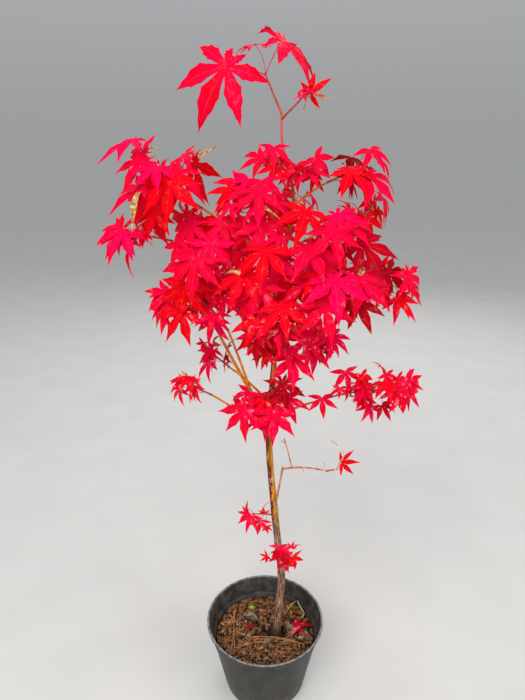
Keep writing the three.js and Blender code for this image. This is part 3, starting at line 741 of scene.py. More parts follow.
def new_material(name, **shader_sockets):
    """A material and its tree, shader and Object coordinates."""
    material = bpy.data.materials.new(name)
    material.use_nodes = True
    tree = material.node_tree
    shader = tree.nodes["Principled BSDF"]
    for socket, value in shader_sockets.items():
        shader.inputs[socket.replace("_", " ")].default_value = value
    place = add_node(tree, "ShaderNodeTexCoord").outputs["Object"]
    return material, tree, shader, place


def stretched(tree, place, scale):
    return add_node(tree, "ShaderNodeMapping", {"Vector": place, "Scale": scale}).outputs[0]


def bump(tree, shader, height, strength, depth):
    sockets = {"Height": height, "Strength": strength, "Distance": depth}
    tree.links.new(add_node(tree, "ShaderNodeBump", sockets).outputs[0], shader.inputs["Normal"])


# ---- Leaves -----------------------------------------------------------------------------------------

FOUND = 0.6  # a leaf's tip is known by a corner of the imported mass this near
LARGE = 66  # a leaf from this size has the finest grid
ROWS = {"large": 11, "full": 8, "plain": 6}  # rows of a lobe's grid
INNER_ROWS = 2  # of which this many lie inside the cuts
HEEL_ANGLE = 45  # how far the last lobe's base reaches past it
SHOULDER_AT = 0.46  # where a plain lobe is widest, and how wide it is as an angle
SHOULDER_ANGLE = 17
WIDEST_AT = 0.38  # where a lobe is widest, between its cut and its tip
SWELL = 1.02  # how much wider than its cut a lobe is there at the least
POINT = 0.2  # how much of a lobe's outline runs straight to its point
TOOTH = 0.014  # the teeth of the edge, and its ripple
RIPPLE = 0.022
THICKNESS = 0.4
WELD = 0.0005


def kept_poses(name, mass, buds):
    """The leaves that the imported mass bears: each bud's first try whose tip is one of its corners."""
    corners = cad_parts[name].data.vertices
    tree = KDTree(len(corners))
    for index, corner in enumerate(corners):
        tree.insert(corner.co / MM, index)
    tree.balance()
    poses = []
    for bud in buds:
        for attempt in range(TRIES):
            pose = leaf_pose(mass, bud, attempt)
            if tree.find(pose.tip())[2] < FOUND:
                poses.append((bud, pose))
                break
    return poses


def blade_shell(pose):
    """The leaf's lobes as flat diamonds, to find what the leaf would touch."""
    carry = pose.matrix()
    shape = ((0, 0), (-SHOULDER_ANGLE, SHOULDER_AT), (0, 1), (SHOULDER_ANGLE, SHOULDER_AT))
    corners = []
    faces = []
    for angle, length in LOBES:
        for side in (1, -1) if angle else (1,):
            faces.append(range(len(corners), len(corners) + 4))
            for turn, share in shape:
                way = math.radians(angle * side + turn)
                reach = length * share
                sunk = -BLADE["sag"] * reach**2
                corners.append(carry @ Vector((math.sin(way) * reach, math.cos(way) * reach, sunk)))
    return BVHTree.FromPolygons(corners, faces)


def limb_shell():
    """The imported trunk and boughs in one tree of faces, in millimetres."""
    corners = []
    faces = []
    for name in ("trunk", *BOUGHS):
        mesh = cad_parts[name].data
        first = len(corners)
        corners.extend(corner.co / MM for corner in mesh.vertices)
        faces.extend([first + corner for corner in face.vertices] for face in mesh.polygons)
    return BVHTree.FromPolygons(corners, faces)


class Canopy:
    """Every leaf so far, so that a new one is hung where it touches none of them."""

    def __init__(self):
        self.limbs = limb_shell()
        self.shells = []

    def add(self, pose):
        self.shells.append((pose.stalk[2], pose.size, blade_shell(pose)))

    def has_room(self, pose):
        shell = blade_shell(pose)
        if shell.overlap(self.limbs):
            return False
        for place, size, other in self.shells:
            if (place - pose.stalk[2]).length < size + pose.size and shell.overlap(other):
                return False
        return True


class Habit:
    """How one leaf, of those that the same rule hangs, is shaped and bent."""

    def __init__(self, throw, size):
        self.full = size >= BLADE["plain_under"]
        self.rows = ROWS["large" if size > LARGE else "full" if self.full else "plain"]
        self.spread = throw(0.96, 1.1)
        self.sag = BLADE["sag"] * throw(0.7, 1.5)
        self.fold = throw(0.12, 0.42)
        self.ripple = throw(0.0, 1.0)


class Lobe:
    """One finger of a leaf, before it is turned to its place."""

    def __init__(self, habit, order, side, throw, withered):
        lobes = LOBES if habit.full else LOBES[:-1]
        angle, length = lobes[order]
        self.angle = angle * side * habit.spread
        self.length = length * throw(0.93, 1.05)
        self.width = self.length * throw(0.145, 0.175)
        self.droop = throw(-0.05, 0.3)
        self.bend = throw(-0.09, 0.09)
        self.twist = math.radians(throw(-28, 28))
        self.fold = habit.fold * throw(0.6, 1.6)
        self.curl = throw(-0.08, 0.16)
        if withered:
            self.width *= throw(0.38, 0.55)
            self.droop = throw(0.25, 0.8)
            self.bend = throw(-0.3, 0.3)
            self.twist = math.radians(throw(30, 100)) * (1 if throw(-1, 1) > 0 else -1)
            self.fold = throw(0.6, 1.3)
        # toward the middle lobe, and away from it: the ray that it shares with its neighbour
        inner = (angle - lobes[order - 1][0]) / 2 if order else (lobes[1][0] - angle) / 2
        inner_cut = NOTCHES[max(order - 1, 0)]
        if order < len(lobes) - 1:
            outer, outer_cut = (lobes[order + 1][0] - angle) / 2, NOTCHES[order]
        else:
            outer, outer_cut = min(180 - angle, HEEL_ANGLE), HEEL
        edges = {-1: (inner, inner_cut), 1: (outer, outer_cut)}
        # across is positive on the right of the lobe, whichever side of the leaf it is on
        self.edges = {}
        for way in (-1, 1):
            half, cut = edges[way * side if order else 1]
            self.edges[way] = (math.radians(half * habit.spread), cut)
        self.start = min(cut * math.cos(half) for half, cut in self.edges.values())


def lobe_corner(habit, lobe, way, row):
    """A corner of the lobe's grid, in the lobe's own frame: across, along and up."""
    if row <= INNER_ROWS:
        share = row / INNER_ROWS
        if way == 0:
            return Vector((0, lobe.start * share, 0))
        half, cut = lobe.edges[way]
        across = share * cut * math.sin(half)
        return Vector((way * across, share * cut * math.cos(half), habit.fold * across))
    share = (row - INNER_ROWS) / (habit.rows - INNER_ROWS)
    along = lobe.start + (lobe.length - lobe.start) * share
    lift = 0
    across = 0
    if way:
        half, cut = lobe.edges[way]
        across = lobe_width(lobe, cut * math.sin(half), share)
        tooth = (1 if row % 2 else -0.5) * TOOTH * math.sqrt(across / lobe.width)
        along += (cut * math.cos(half) - lobe.start) * (1 - share) ** 2 + tooth * 0.6
        across = max(0, across + tooth)
        settle = min(1, share * 3)
        lift = across * (habit.fold + (lobe.fold - habit.fold) * settle)
        lift += RIPPLE * habit.ripple * share * (1 - share) * math.sin(row * 1.7 + way * 2.1 + lobe.angle)
        across *= way
    turn = lobe.twist * share * share
    turned = across * math.cos(turn) + lift * math.sin(turn)
    place = Vector((turned, along, lift * math.cos(turn) - across * math.sin(turn)))
    place.x += lobe.bend * lobe.length * share * share
    hang = lobe.droop * share**2 + lobe.curl * max(0, share - 0.6) * 2
    place.z -= hang * lobe.length
    place.y -= hang * hang * lobe.length * 0.5
    return place


def lobe_width(lobe, at_cut, share):
    """Half of a lobe's width: it swells from the cut and then runs out to a drawn-out point."""
    widest = max(lobe.width, at_cut * SWELL)
    if share < WIDEST_AT:
        return at_cut + (widest - at_cut) * (0.5 - 0.5 * math.cos(math.pi * share / WIDEST_AT))
    rest = (share - WIDEST_AT) / (1 - WIDEST_AT)
    return widest * ((1 - POINT) * (0.5 + 0.5 * math.cos(math.pi * rest)) + POINT * (1 - rest))


def thicken(sheet, thickness):
    """A sheet becomes a closed blade: its faces are copied out along their normals, with a rim between."""
    sheet.normal_update()
    grown = bmesh.ops.extrude_face_region(sheet, geom=sheet.faces[:], use_keep_orig=True)["geom"]
    outer = {element for element in grown if isinstance(element, bmesh.types.BMFace)}
    for vert in [element for element in grown if isinstance(element, bmesh.types.BMVert)]:
        normal = sum((face.normal for face in vert.link_faces if face in outer), Vector())
        vert.co += normal.normalized() * thickness
    bmesh.ops.recalc_face_normals(sheet, faces=sheet.faces)


def grow_blade(targets, pose, throw, colour, withered_share):
    """A leaf: a grid for each lobe is shaped and bent, the grids are welded, and the sheet is thickened."""
    habit = Habit(throw, pose.size)
    bm = bmesh.new()
    bm.loops.layers.uv.new("blade")
    dead = bm.faces.layers.int.new("dead")
    count = len(LOBES) if habit.full else len(LOBES) - 1
    for order in range(count):
        for side in (1, -1) if order else (1,):
            withered = throw(0, 1) < withered_share
            lobe = Lobe(habit, order, side, throw, withered)
            grown = bmesh.ops.create_grid(bm, x_segments=2, y_segments=habit.rows, size=1, calc_uvs=True)
            grid = grown["verts"]
            turn = Matrix.Rotation(-math.radians(lobe.angle), 3, "Z")
            for vert in grid:
                row = round((vert.co.y + 1) / 2 * habit.rows)
                place = turn @ lobe_corner(habit, lobe, round(vert.co.x), row)
                place.z -= habit.sag * (place.x**2 + place.y**2)
                vert.co = place
            if withered:
                for face in {face for vert in grid for face in vert.link_faces}:
                    face[dead] = face.calc_center_median().length > NOTCHES[0]
    bmesh.ops.remove_doubles(bm, verts=bm.verts, dist=WELD)
    bm.transform(pose.matrix())
    bmesh.ops.recalc_face_normals(bm, faces=bm.faces)
    for kind, mark in ((colour, 0), ("withered", 1)):
        part = bm.copy()
        layer = part.faces.layers.int["dead"]
        other = [face for face in part.faces if face[layer] != mark]
        bmesh.ops.delete(part, geom=other, context="FACES")
        if part.faces:
            thicken(part, THICKNESS)
            join_into(targets[kind], part)
        else:
            part.free()
    bm.free()


# ---- Pot and soil -----------------------------------------------------------------------------------

POT_STEPS = 112  # facets round the pot
POT_EDGES = dict(rounded=0.7, corners=(3, 4, 5, 7, 8, 9, 11))  # the profile's rounded corners
SOIL_STEPS = 190  # facets round the soil, and rings in its top
SOIL_RINGS = 62
SOIL_CLEAR = 0.4  # between the soil and the wall, at its top and at its foot
SOIL_FOOT_CLEAR = 2.5
SOIL_SHOULDER = 6  # how far under its top it meets the wall

# The soil's crumbs: width, height and dice of the coarse and the fine ones, the swells under them, and how
# deep the whole is set.
CRUMBS = [(9, 5, 1), (4.2, 3.6, 2)]
SWELLS = dict(width=26, height=2.2, dice=3)
CRUMBS_SET = 1.6


def spun(profile, steps, rounded=0.0, corners=()):
    """A wall turned from its half profile, with the named corners of the profile rounded first."""
    bm = bmesh.new()
    verts = [bm.verts.new((radius, 0, up)) for radius, up in profile]
    for first, second in zip(verts, verts[1:]):
        bm.edges.new((first, second))
    if corners:
        sharp = [verts[index] for index in corners]
        bmesh.ops.bevel(
            bm, geom=sharp, offset=rounded, affect="VERTICES", segments=4, profile=0.5, material=-1
        )
    geom = bm.verts[:] + bm.edges[:]
    bmesh.ops.spin(bm, geom=geom, axis=UP, cent=(0, 0, 0), angle=math.tau, steps=steps, use_merge=True)
    bmesh.ops.remove_doubles(bm, verts=bm.verts, dist=0.01)
    return bm


def wall_radius(pot, height):
    return pot.base_radius + (pot.collar_radius - pot.base_radius) * height / pot.height


def make_pot(pot):
    """The nursery pot: a drawn-in foot, a thin tapered wall, a band that steps out and a rolled lip."""
    band = pot.height - pot.band
    inside = band + pot.step
    profile = [
        (0, pot.foot),
        (pot.base_radius - pot.foot * 3, pot.foot),
        (pot.base_radius - pot.foot * 2, 0),
        (pot.base_radius, 0),
        (wall_radius(pot, band) - pot.step, band - pot.step),
        (wall_radius(pot, band), band),
        (wall_radius(pot, pot.height - pot.lip * 2), pot.height - pot.lip * 2),
        (pot.rim_radius, pot.height - pot.lip * 1.4),
        (pot.rim_radius, pot.height),
        (pot.rim_radius - pot.lip, pot.height),
        (wall_radius(pot, pot.height) - pot.wall * 1.4, pot.height - pot.lip),
        (wall_radius(pot, inside) - pot.wall, inside),
        (wall_radius(pot, inside) - pot.wall - pot.step, inside - pot.step),
        (pot.base_radius - pot.wall, pot.foot + pot.wall),
        (0, pot.foot + pot.wall),
    ]
    return spun([(radius / MM, up / MM) for radius, up in profile], POT_STEPS, **POT_EDGES)


def pot_plastic(pot):
    """Dull dark plastic: paler where dust and dried splashes lie, pale along the lip as wear and as a painted
    highlight, scuffed upright.
    """
    material, tree, shader, place = new_material("pot_plastic", Roughness=0.6, Specular_IOR_Level=0.4)
    body = mottle(tree, place, 34.0, 0.35, 0.7, tuple(pot.colour), tint(54, 52, 49))
    streaks = noise_patches(tree, stretched(tree, place, (120, 120, 6)), 1.0, 4.0)
    scuffed = remap(tree, streaks, 0.56, 0.72, 0.0, 0.35)
    colour = mix_colour(tree, scuffed, body["Colour"], tint(88, 85, 79))
    dust = shared(tree, "dust", Place=place, Scale=55.0, Amount=0.6)
    colour = mix_colour(tree, dust["Mask"], colour, tuple(pot.dust_colour))
    height = one_axis(tree, place, 2)
    # the pale lip: partly wear, partly a painted highlight along the top of the rolled lip
    lip = remap(tree, height, pot.height - pot.lip * 0.7, pot.height - pot.lip * 0.1)
    lip_wear_and_highlight = calculate(tree, "MULTIPLY", lip, remap(tree, streaks, 0.36, 0.6, 0.25, 0.85))
    colour = mix_colour(tree, lip_wear_and_highlight, colour, tuple(pot.lip_wear_and_highlight_colour))
    splash = calculate(tree, "MULTIPLY", remap(tree, height, 0.045, 0.0), remap(tree, streaks, 0.35, 0.65))
    colour = mix_colour(tree, calculate(tree, "MULTIPLY", splash, 0.5), colour, tint(122, 112, 96))
    tree.links.new(colour, shader.inputs["Base Color"])
    rough_mask = calculate(tree, "ADD", calculate(tree, "MULTIPLY", dust["Mask"], 0.3), 0.5)
    tree.links.new(rough_mask, shader.inputs["Roughness"])
    bump(tree, shader, lumps(tree, place, 70.0, 900.0, 0.35), 0.25, 0.0006)
    return material


def soil_level(x, y):
    """The packed soil's own surface, with its crumbs left out."""
    foot_x, foot_y, _ = TRUNK_LINE[0]
    from_foot = math.hypot(x - foot_x, y - foot_y) / SOIL["hollow_radius"]
    hollow = SOIL["hollow_depth"] * math.exp(-(from_foot**2))
    mound = SOIL["mound"] * math.cos(x / SOIL["waves"][0]) * math.cos(y / SOIL["waves"][1])
    return SOIL["level"] + mound - hollow


def crumbs(x, y):
    """How far the crumbs raise the surface at a place."""
    place = Vector((x, y, 0))
    raised = sum(abs(rough(place, width, seed)) * height for width, height, seed in CRUMBS)
    return raised + rough(place, SWELLS["width"], SWELLS["dice"]) * SWELLS["height"] - CRUMBS_SET


def surface(x, y):
    return soil_level(x, y) + crumbs(x, y)


def make_soil(pot):
    """A plug of potting mix with a crumbly top, sunk round the trunk's foot."""
    low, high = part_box("soil")
    radius = high.x / MM - SOIL_CLEAR
    foot = low.z / MM
    top = SOIL["level"]
    foot_radius = pot.base_radius / MM - SOIL_FOOT_CLEAR
    profile = [(0, foot), (foot_radius, foot), (radius, top - SOIL_SHOULDER)]
    profile += [(radius * ring / SOIL_RINGS, top) for ring in range(SOIL_RINGS, -1, -1)]
    bm = spun(profile, SOIL_STEPS)
    for vert in bm.verts:
        if vert.co.z > top - 1:
            vert.co.z = surface(vert.co.x, vert.co.y)
    return bm


def soil_mix(soil):
    """Damp dark mix with drier crumbs and pale flecks, darker in the hollow round the trunk's foot."""
    material, tree, shader, place = new_material("soil_mix", Roughness=0.95, Specular_IOR_Level=0.15)
    ground = mottle(tree, place, 110.0, 0.42, 0.6, tuple(soil.dark_colour), tuple(soil.colour))
    flecks = mottle(tree, place, 420.0, 0.6, 0.7)
    colour = mix_colour(tree, flecks["Mask"], ground["Colour"], tint(196, 150, 104))
    foot_x, foot_y, foot_z = TRUNK_LINE[0]
    middle = (foot_x * MM, foot_y * MM, (foot_z + SOIL["hollow_depth"]) * MM)
    away = distance(tree, place, middle)
    colour = mix_colour(tree, remap(tree, away, 0.034, 0.014, 0.0, 0.85), colour, tint(22, 15, 11))
    tree.links.new(colour, shader.inputs["Base Color"])
    bump(tree, shader, lumps(tree, place, 240.0, 900.0, 0.5), 0.8, 0.0015)
    return material


# ---- What lies on the soil --------------------------------------------------------------------------

BARE_FOOT = 19  # nothing lies this near the trunk's foot
LUMPS_WITHIN = (10, 88)  # how far from the pot's middle lumps, fibres and dead leaves lie
FIBRES_WITHIN = (5, 84)
DEAD_LEAVES_WITHIN = (26, 84)
SUNK = 0.3  # how deep a lump is pressed in, as a share of its height
FLAKE_THICKNESS = 0.5
LYING_STEPS = 8  # a needle is laid in this many steps, and sags this far below the highest soil under it
LYING_SAG = 1.5

# Fallen needles: both ends, how far the middle bows sideways, and the radius.
NEEDLES = [
    ((-65, 64), (-66, -58), 3, 0.8),
    ((-60, 58), (-70, -46), -4, 0.7),
    ((-71, 40), (-60, -62), 5, 0.7),
    ((-89, -38), (-38, 12), 3, 0.8),
    ((-62, 2), (-22, -19), -2, 0.9),
    ((-25, -17), (76, -34), 8, 1.1),
    ((-22, -24), (60, -30), 6, 0.8),
    ((-47, -38), (26, -27), 4, 0.8),
    ((-88, 16), (-62, 25), 5, 0.7),
    ((-84, 8), (-50, 22), 7, 0.6),
    ((-10, 54), (15, 43), 2, 0.7),
    ((-55, -20), (-20, -58), 4, 0.6),
    ((20, -48), (66, -52), -5, 0.7),
    ((-30, 78), (18, 72), 3, 0.6),
    ((40, 20), (78, 5), 4, 0.6),
]
STRAWS = [((48, 53), (68, 76), 2, 1.3), ((70, 77), (82, 44), -2, 1.7), ((81, 43), (74, 34), 1, 1.5)]

# Flakes: place, length, width and turn.
YELLOW_SCRAPS = [
    (-47, 68, 11, 5.5, 1.9),
    (54, 47, 10, 5, 0.4),
    (-8, -43, 12, 6, 2.4),
    (-86, 20, 12, 6, 0.9),
    (47, 51, 8, 4, 2.0),
]
GREY_FLAKES = [
    (-30, 29, 34, 15, 1.3),
    (47, 8, 32, 17, 0.1),
    (6, -30, 24, 12, 2.2),
    (76, -10, 24, 12, 0.6),
    (2, -67, 14, 9, 1.5),
]
FOLDED_LOBE = [(64, -3, 28, 12, -0.9)]

# Fallen leaves: place, heading, size and dice. The seedling: place, height of its leaves, and how many.
FALLEN_LEAVES = [(58, 6, 62, 46, 3), (-29, 7, 120, 13, 8)]
SEEDLING = dict(x=-27, y=55, top=7.5, leaves=4, spread=3.4)


def lying_line(start, end, bow, lift):
    """A line over the soil between two places, bowed sideways, that never dips into it."""
    reach = Vector(end) - Vector(start)
    side = Vector((-reach.y, reach.x)).normalized() * bow
    line = []
    for step in range(LYING_STEPS + 1):
        share = step / LYING_STEPS
        place = Vector(start) + reach * share + side * math.sin(math.pi * share)
        line.append(Vector((place.x, place.y, surface(place.x, place.y))))
    level = max(point.z for point in line)
    return [Vector((p.x, p.y, max(p.z, level - LYING_SAG) + lift)) for p in line]


def make_needles(lines, lift):
    bm = bmesh.new()
    for start, end, bow, radius in lines:
        line = smooth_line(lying_line(start, end, bow, lift), 4)
        sweep(bm, line, lambda share, turn: radius * (1 - 0.7 * share**3), 6)
    return bm


def scatter(seed, count, inner, outer):
    """Seeded places on the soil, evenly spread between two distances from the middle of the pot."""
    throw = dice(seed, DRESS_DICE)
    foot_x, foot_y, _ = TRUNK_LINE[0]
    for _ in range(count):
        away = math.sqrt(throw(inner**2, outer**2))
        turn = throw(0, math.tau)
        x, y = away * math.cos(turn), away * math.sin(turn)
        if math.hypot(x - foot_x, y - foot_y) > BARE_FOOT:
            yield x, y, throw


def make_lumps(seed, count, sizes, flatness, smoothness=1):
    """Small broken lumps, each a ball of a few faces pulled out of shape and pressed into the soil."""
    bm = bmesh.new()
    for x, y, throw in scatter(seed, count, *LUMPS_WITHIN):
        size = throw(*sizes)
        shape = Vector((throw(0.6, 1.5), throw(0.4, 1.0), throw(*flatness))) * size
        turn = Matrix.Rotation(throw(0, math.tau), 4, "Z") @ Matrix.Rotation(throw(-0.5, 0.5), 4, "X")
        place = Matrix.Translation((x, y, surface(x, y) + shape.z * (1 - 2 * SUNK))) @ turn
        grown = bmesh.ops.create_icosphere(bm, subdivisions=smoothness, radius=1)["verts"]
        for vert in grown:
            vert.co = Vector([vert.co[axis] * shape[axis] * throw(0.75, 1.2) for axis in range(3)])
        bmesh.ops.transform(bm, matrix=place, verts=grown)
    return bm


def make_flake(bm, place, length, width, cup, tilt=(0, 0, 0), crumple=0.0):
    """A dry flake: a small grid drawn to a pointed leaf shape, curled and crumpled."""
    part = bmesh.new()
    grid = bmesh.ops.create_grid(part, x_segments=4, y_segments=8, size=1)["verts"]
    for vert in grid:
        along = (vert.co.y + 1) / 2
        ragged = 1 + crumple * 1.6 * rough(Vector((vert.co.x * 2, along * 7, length)), 1.3, 5)
        half = width / 2 * math.sin(math.pi * min(1, along * 1.04) ** 0.8) * ragged
        across = vert.co.x * max(half, 0.05)
        up = cup * vert.co.x**2 * half + cup * length * 0.25 * (along - 0.5) ** 2
        up += crumple * width * rough(Vector((across, along * length, width)), width * 0.4, 6)
        vert.co = Vector((across, (along - 0.5) * length, up))
    bmesh.ops.recalc_face_normals(part, faces=part.faces)
    thicken(part, FLAKE_THICKNESS)
    part.transform(Matrix.Translation(place) @ Euler(tilt).to_matrix().to_4x4())
    join_into(bm, part)


def on_soil(x, y, lift):
    return Vector((x, y, surface(x, y) + lift))


def make_fibres(seed, count):
    """Short thin roots and fibres, each bent, on and in the mix."""
    bm = bmesh.new()
    for x, y, throw in scatter(seed, count, *FIBRES_WITHIN):
        line = [Vector((x, y, surface(x, y) + 1))]
        turn = throw(0, math.tau)
        for _ in range(3):
            turn += throw(-0.8, 0.8)
            x, y = x + math.cos(turn) * throw(2, 6), y + math.sin(turn) * throw(2, 6)
            line.append(Vector((x, y, surface(x, y) + throw(0.8, 3))))
        radius = throw(0.3, 0.6)
        sweep(bm, line, lambda share, turn: radius * (1 - 0.5 * share), 4)
    return bm


def make_dead_leaves(seed, count, lengths):
    """Crumpled dead leaves that stick out of the mix every way."""
    bm = bmesh.new()
    for x, y, throw in scatter(seed, count, *DEAD_LEAVES_WITHIN):
        length = throw(*lengths)
        tilt = (throw(-0.5, 0.5), throw(-0.6, 0.6), throw(0, math.tau))
        make_flake(bm, on_soil(x, y, 1.5), length, length * throw(0.3, 0.6), throw(0.3, 1.1), tilt, 0.3)
    return bm


def make_fallen_leaf():
    """One dark fallen leaf, folded in on itself, and a scrap of another."""
    bm = bmesh.new()
    targets = {"fallen": bm, "withered": bm}
    for x, y, heading, size, seed in FALLEN_LEAVES:
        base = Vector((x, y, surface(x, y) + 4))
        way = aim(heading, 6)
        face = (UP + aim(heading + 90, 0) * 0.35 - way * 0.2).normalized()
        face = (face - way * face.dot(way)).normalized()
        pose = Pose((base, base, base), way, face, size)
        grow_blade(targets, pose, dice(seed, DRESS_DICE), "fallen", 0)
    return bm


def make_seedling():
    """A tiny green seedling: a thin stem and a few round leaves."""
    bm = bmesh.new()
    foot = on_soil(SEEDLING["x"], SEEDLING["y"], 0)
    top = foot + UP * SEEDLING["top"]
    stem = smooth_line([foot, foot + Vector((1, 0, 4)), foot + Vector((0.5, -1, 8))], 2)
    sweep(bm, stem, lambda share, turn: 0.6, 6)
    for order in range(SEEDLING["leaves"]):
        turn = order * math.tau / SEEDLING["leaves"] + 0.4
        place = top + Vector((math.sin(turn), -math.cos(turn), 0)) * SEEDLING["spread"]
        make_flake(bm, place, 7, 4.6, 0.3, (-0.3, 0, turn + math.pi))
    return bm


def make_flakes(flakes, lift, cup, tilt, crumple):
    bm = bmesh.new()
    for x, y, length, width, turn in flakes:
        make_flake(bm, on_soil(x, y, lift), length, width, cup, (*tilt, turn), crumple)
    return bm


# ---- Wood -------------------------------------------------------------------------------------------

# Old scars on the trunk: height, the way they face, depth of the lip, and size.
SCARS = [
    (253, 312, 2.4, 5.0),
    (466, 285, 1.8, 4.2),
    (402, 345, 1.0, 4.5),
    (640, 250, 0.9, 3.5),
    (330, 215, 0.8, 3.5),
]
SMOOTH_FROM = 390  # the height where the old bark ends
CRACKED = dict(top=360, fade=120)  # where its cracks end, and over what length they fade
FULL_RELIEF = 5  # a thinner trunk has less relief

# The bark's relief: how wide its patches are, how far they are drawn out upright, how deep they are, and how
# much deeper where the bark is old. Plates are on old bark only.
GRAIN = dict(size=2.6, drawn=7, depth=0.12, deeper=0.3)
BULGES = dict(size=17, depth=0.28, deeper=0.25)
PLATES = dict(size=4.5, drawn=3, depth=0.7, set=0.25)

NODE_SWELL = dict(share=0.1, length=7)  # how the trunk swells where a bough leaves it
BOUGH_COLLAR = dict(share=0.55, length=0.16)  # the same for a bough's foot, as a share of its length
KNOT_SPACING = 38  # between the rings where a bough's buds were, and a ring's length
KNOT_LENGTH = 1.6

# Radii of twigs at both ends, and of buds as a share of the twig's tip.
STEM_RADII = (1.7, 1.1)
SIDE_RADII = (1.15, 0.8)
FINER_RADII = (0.75, 0.5)
DRY_RADII = (1.3, 0.7)
BUD_SIZE = 1.5
JOINT = dict(swell=0.3, sharpness=9)  # the swelling of a twig at each pair of buds
STALK_RINGS = 9
STALK_SIZE = dict(least=0.45, share=0.0035)  # a leaf stalk's radius, with a share of the leaf's size

# Masses with open sky between their leaves, which take no finer shoots.
PLAIN_MASSES = ("foliage_top", "foliage_top_side", "foliage_sprout_left", "foliage_sprout_right")
SPARE_SHOOT = 3  # one in this many finer shoots with no room for a leaf stays, dry

# Leaves that stand apart on their own stalks: the mass that they belong to, the limb and where on it, the
# stalk's bend and end from there, the way of the middle lobe, the way of the face, and the size.
LONE_LEAVES = [
    ("foliage_upper_left", "foliage_upper_left", 1, (-15, 0, 31), (-25, -2, 50),
     (-0.93, -0.22, -0.28), (0.1, -0.28, 1), 60),
    ("foliage_top", "foliage_top", 1, (-4, -3, 21), (-14, -9, 36),
     (-0.35, -0.9, -0.2), (-0.12, -0.12, 1), 37),
    ("foliage_top_side", "foliage_top_side", 1, (8, -4, 6), (15, -9, 8),
     (0.72, -0.3, 0.62), (0, -1, 0.35), 34),
    ("foliage_low_right", "bough_low_right", 1, (1, -6, 12), (5, -12, 11),
     (0.05, -0.45, -0.9), (0, -0.9, 0.45), 36),
    ("foliage_sprout_left", "foliage_sprout_left", 0.5, (0, -4, 5), (0, -7, 8),
     (-0.2, -0.5, 0.8), (0, -1, -0.3), 15),
    ("foliage_sprout_left", "foliage_sprout_left", 0.4, (-1, -8, -10), (0, -9, -20),
     (0.1, -0.4, -0.9), (0, -1, 0.4), 16),
    ("foliage_sprout_right", "foliage_sprout_right", 0.35, (-14, -4, -4), (-24, -4, -12),
     (-0.8, -0.3, -0.45), (0, -1, 0.2), 18),
    ("foliage_sprout_right", "foliage_sprout_right", 1, (5, 0, 8), (12, 2, 12),
     (0.2, -0.2, 1), (-0.3, -1, 0), 14),
    ("foliage_sprout_right", "foliage_sprout_right", 0.5, (5, -10, -4), (8, -12, -15),
     (0.1, -0.35, -0.93), (0, -1, 0.35), 25),
]
LONE_BUD = 90  # their dice start here

# Dead shoots of the low twig and of the sprout under it: the limb, where they leave it, and how they bend.
DRY_SHOOTS = [
    ("foliage_low_twig", 0.9, (9, 0, 16), (14, -1, 30), (5, 0, 45), (-11, 0, 59)),
    ("bough_low_shoot", 0.8, (-4, 0, 2), (-8, 0, 6)),
    ("bough_low_arm", 0.96, (1, 0, 8), (0, 0, 16)),
    ("bough_low_arm", 0.5, (-1, -2, -5), (-1, -3, -9)),
    ("foliage_sprout_right", 0.6, (13, -4, 16), (44, -4, 15), (38, -4, 7), (31, -4, -2)),
]

# The share of withered lobes, where a mass has more or fewer than the others.
WITHERED = {
    "foliage_upper_left": 0.09,
    "foliage_top_side": 0.3,
    "foliage_left": 0.12,
    "foliage_low_left": 0.1,
    "foliage_low_twig": 0.0,
    "foliage_sprout_left": 0.0,
    "foliage_sprout_right": 0.0,
    "foliage_top": 0.0,
}

# Masses whose leaves are all one tint, and how the others are dealt out: each tint up to this share.
TINTS = {"foliage_top": "crimson"}
# In the masses low down, behind and inside the crown the dark tint is dealt more often: painted shade.
SHADED = ("back", "low", "inner")
DEALT = {"crimson": 0.6, "pink": 0.7, "scarlet": 0.93}
DEALT_IN_SHADE = {"crimson": 0.6, "pink": 0.7, "scarlet": 0.86}
LEAF_COLOURS = ("crimson", "pink", "scarlet", "dark", "withered")
LOW_TWIG = ("bough_low_twig", "bough_low_arm", "bough_low_shoot")


def scar_places():
    """Where each scar lies on the trunk's surface."""
    for up, heading, _, _ in SCARS:
        yield trunk_point(trunk_share_at(up)) + aim(heading, 0) * trunk_radius(up)


def bark_relief(height, turn, radius):
    """How far the bark stands out at a place round the trunk: long cracks low down, smoother above."""
    spot = Vector((math.cos(turn) * radius, math.sin(turn) * radius, height))
    old = min(1, max(0, (CRACKED["top"] - height) / CRACKED["fade"]))
    grain = rough(Vector((spot.x, spot.y, height / GRAIN["drawn"])), GRAIN["size"], 4)
    bulge = rough(Vector((spot.x / 3, spot.y / 3, height)), BULGES["size"], 5)
    plate = abs(rough(Vector((spot.x, spot.y, height / PLATES["drawn"])), PLATES["size"], 6)) - PLATES["set"]
    relief = grain * (GRAIN["depth"] + GRAIN["deeper"] * old)
    relief += bulge * (BULGES["depth"] + BULGES["deeper"] * old)
    return relief + plate * PLATES["depth"] * old + scar_relief(height, turn, radius)


def scar_relief(height, turn, radius):
    """A healed scar is a raised ring round a small pit."""
    relief = 0
    for up, heading, depth, size in SCARS:
        apart = math.remainder(turn - math.radians(heading), math.tau) * radius
        away = math.hypot(height - up, apart) / size
        relief += depth * (math.exp(-(away**2)) - 1.1 * math.exp(-((away * 2.6) ** 2)))
    return relief


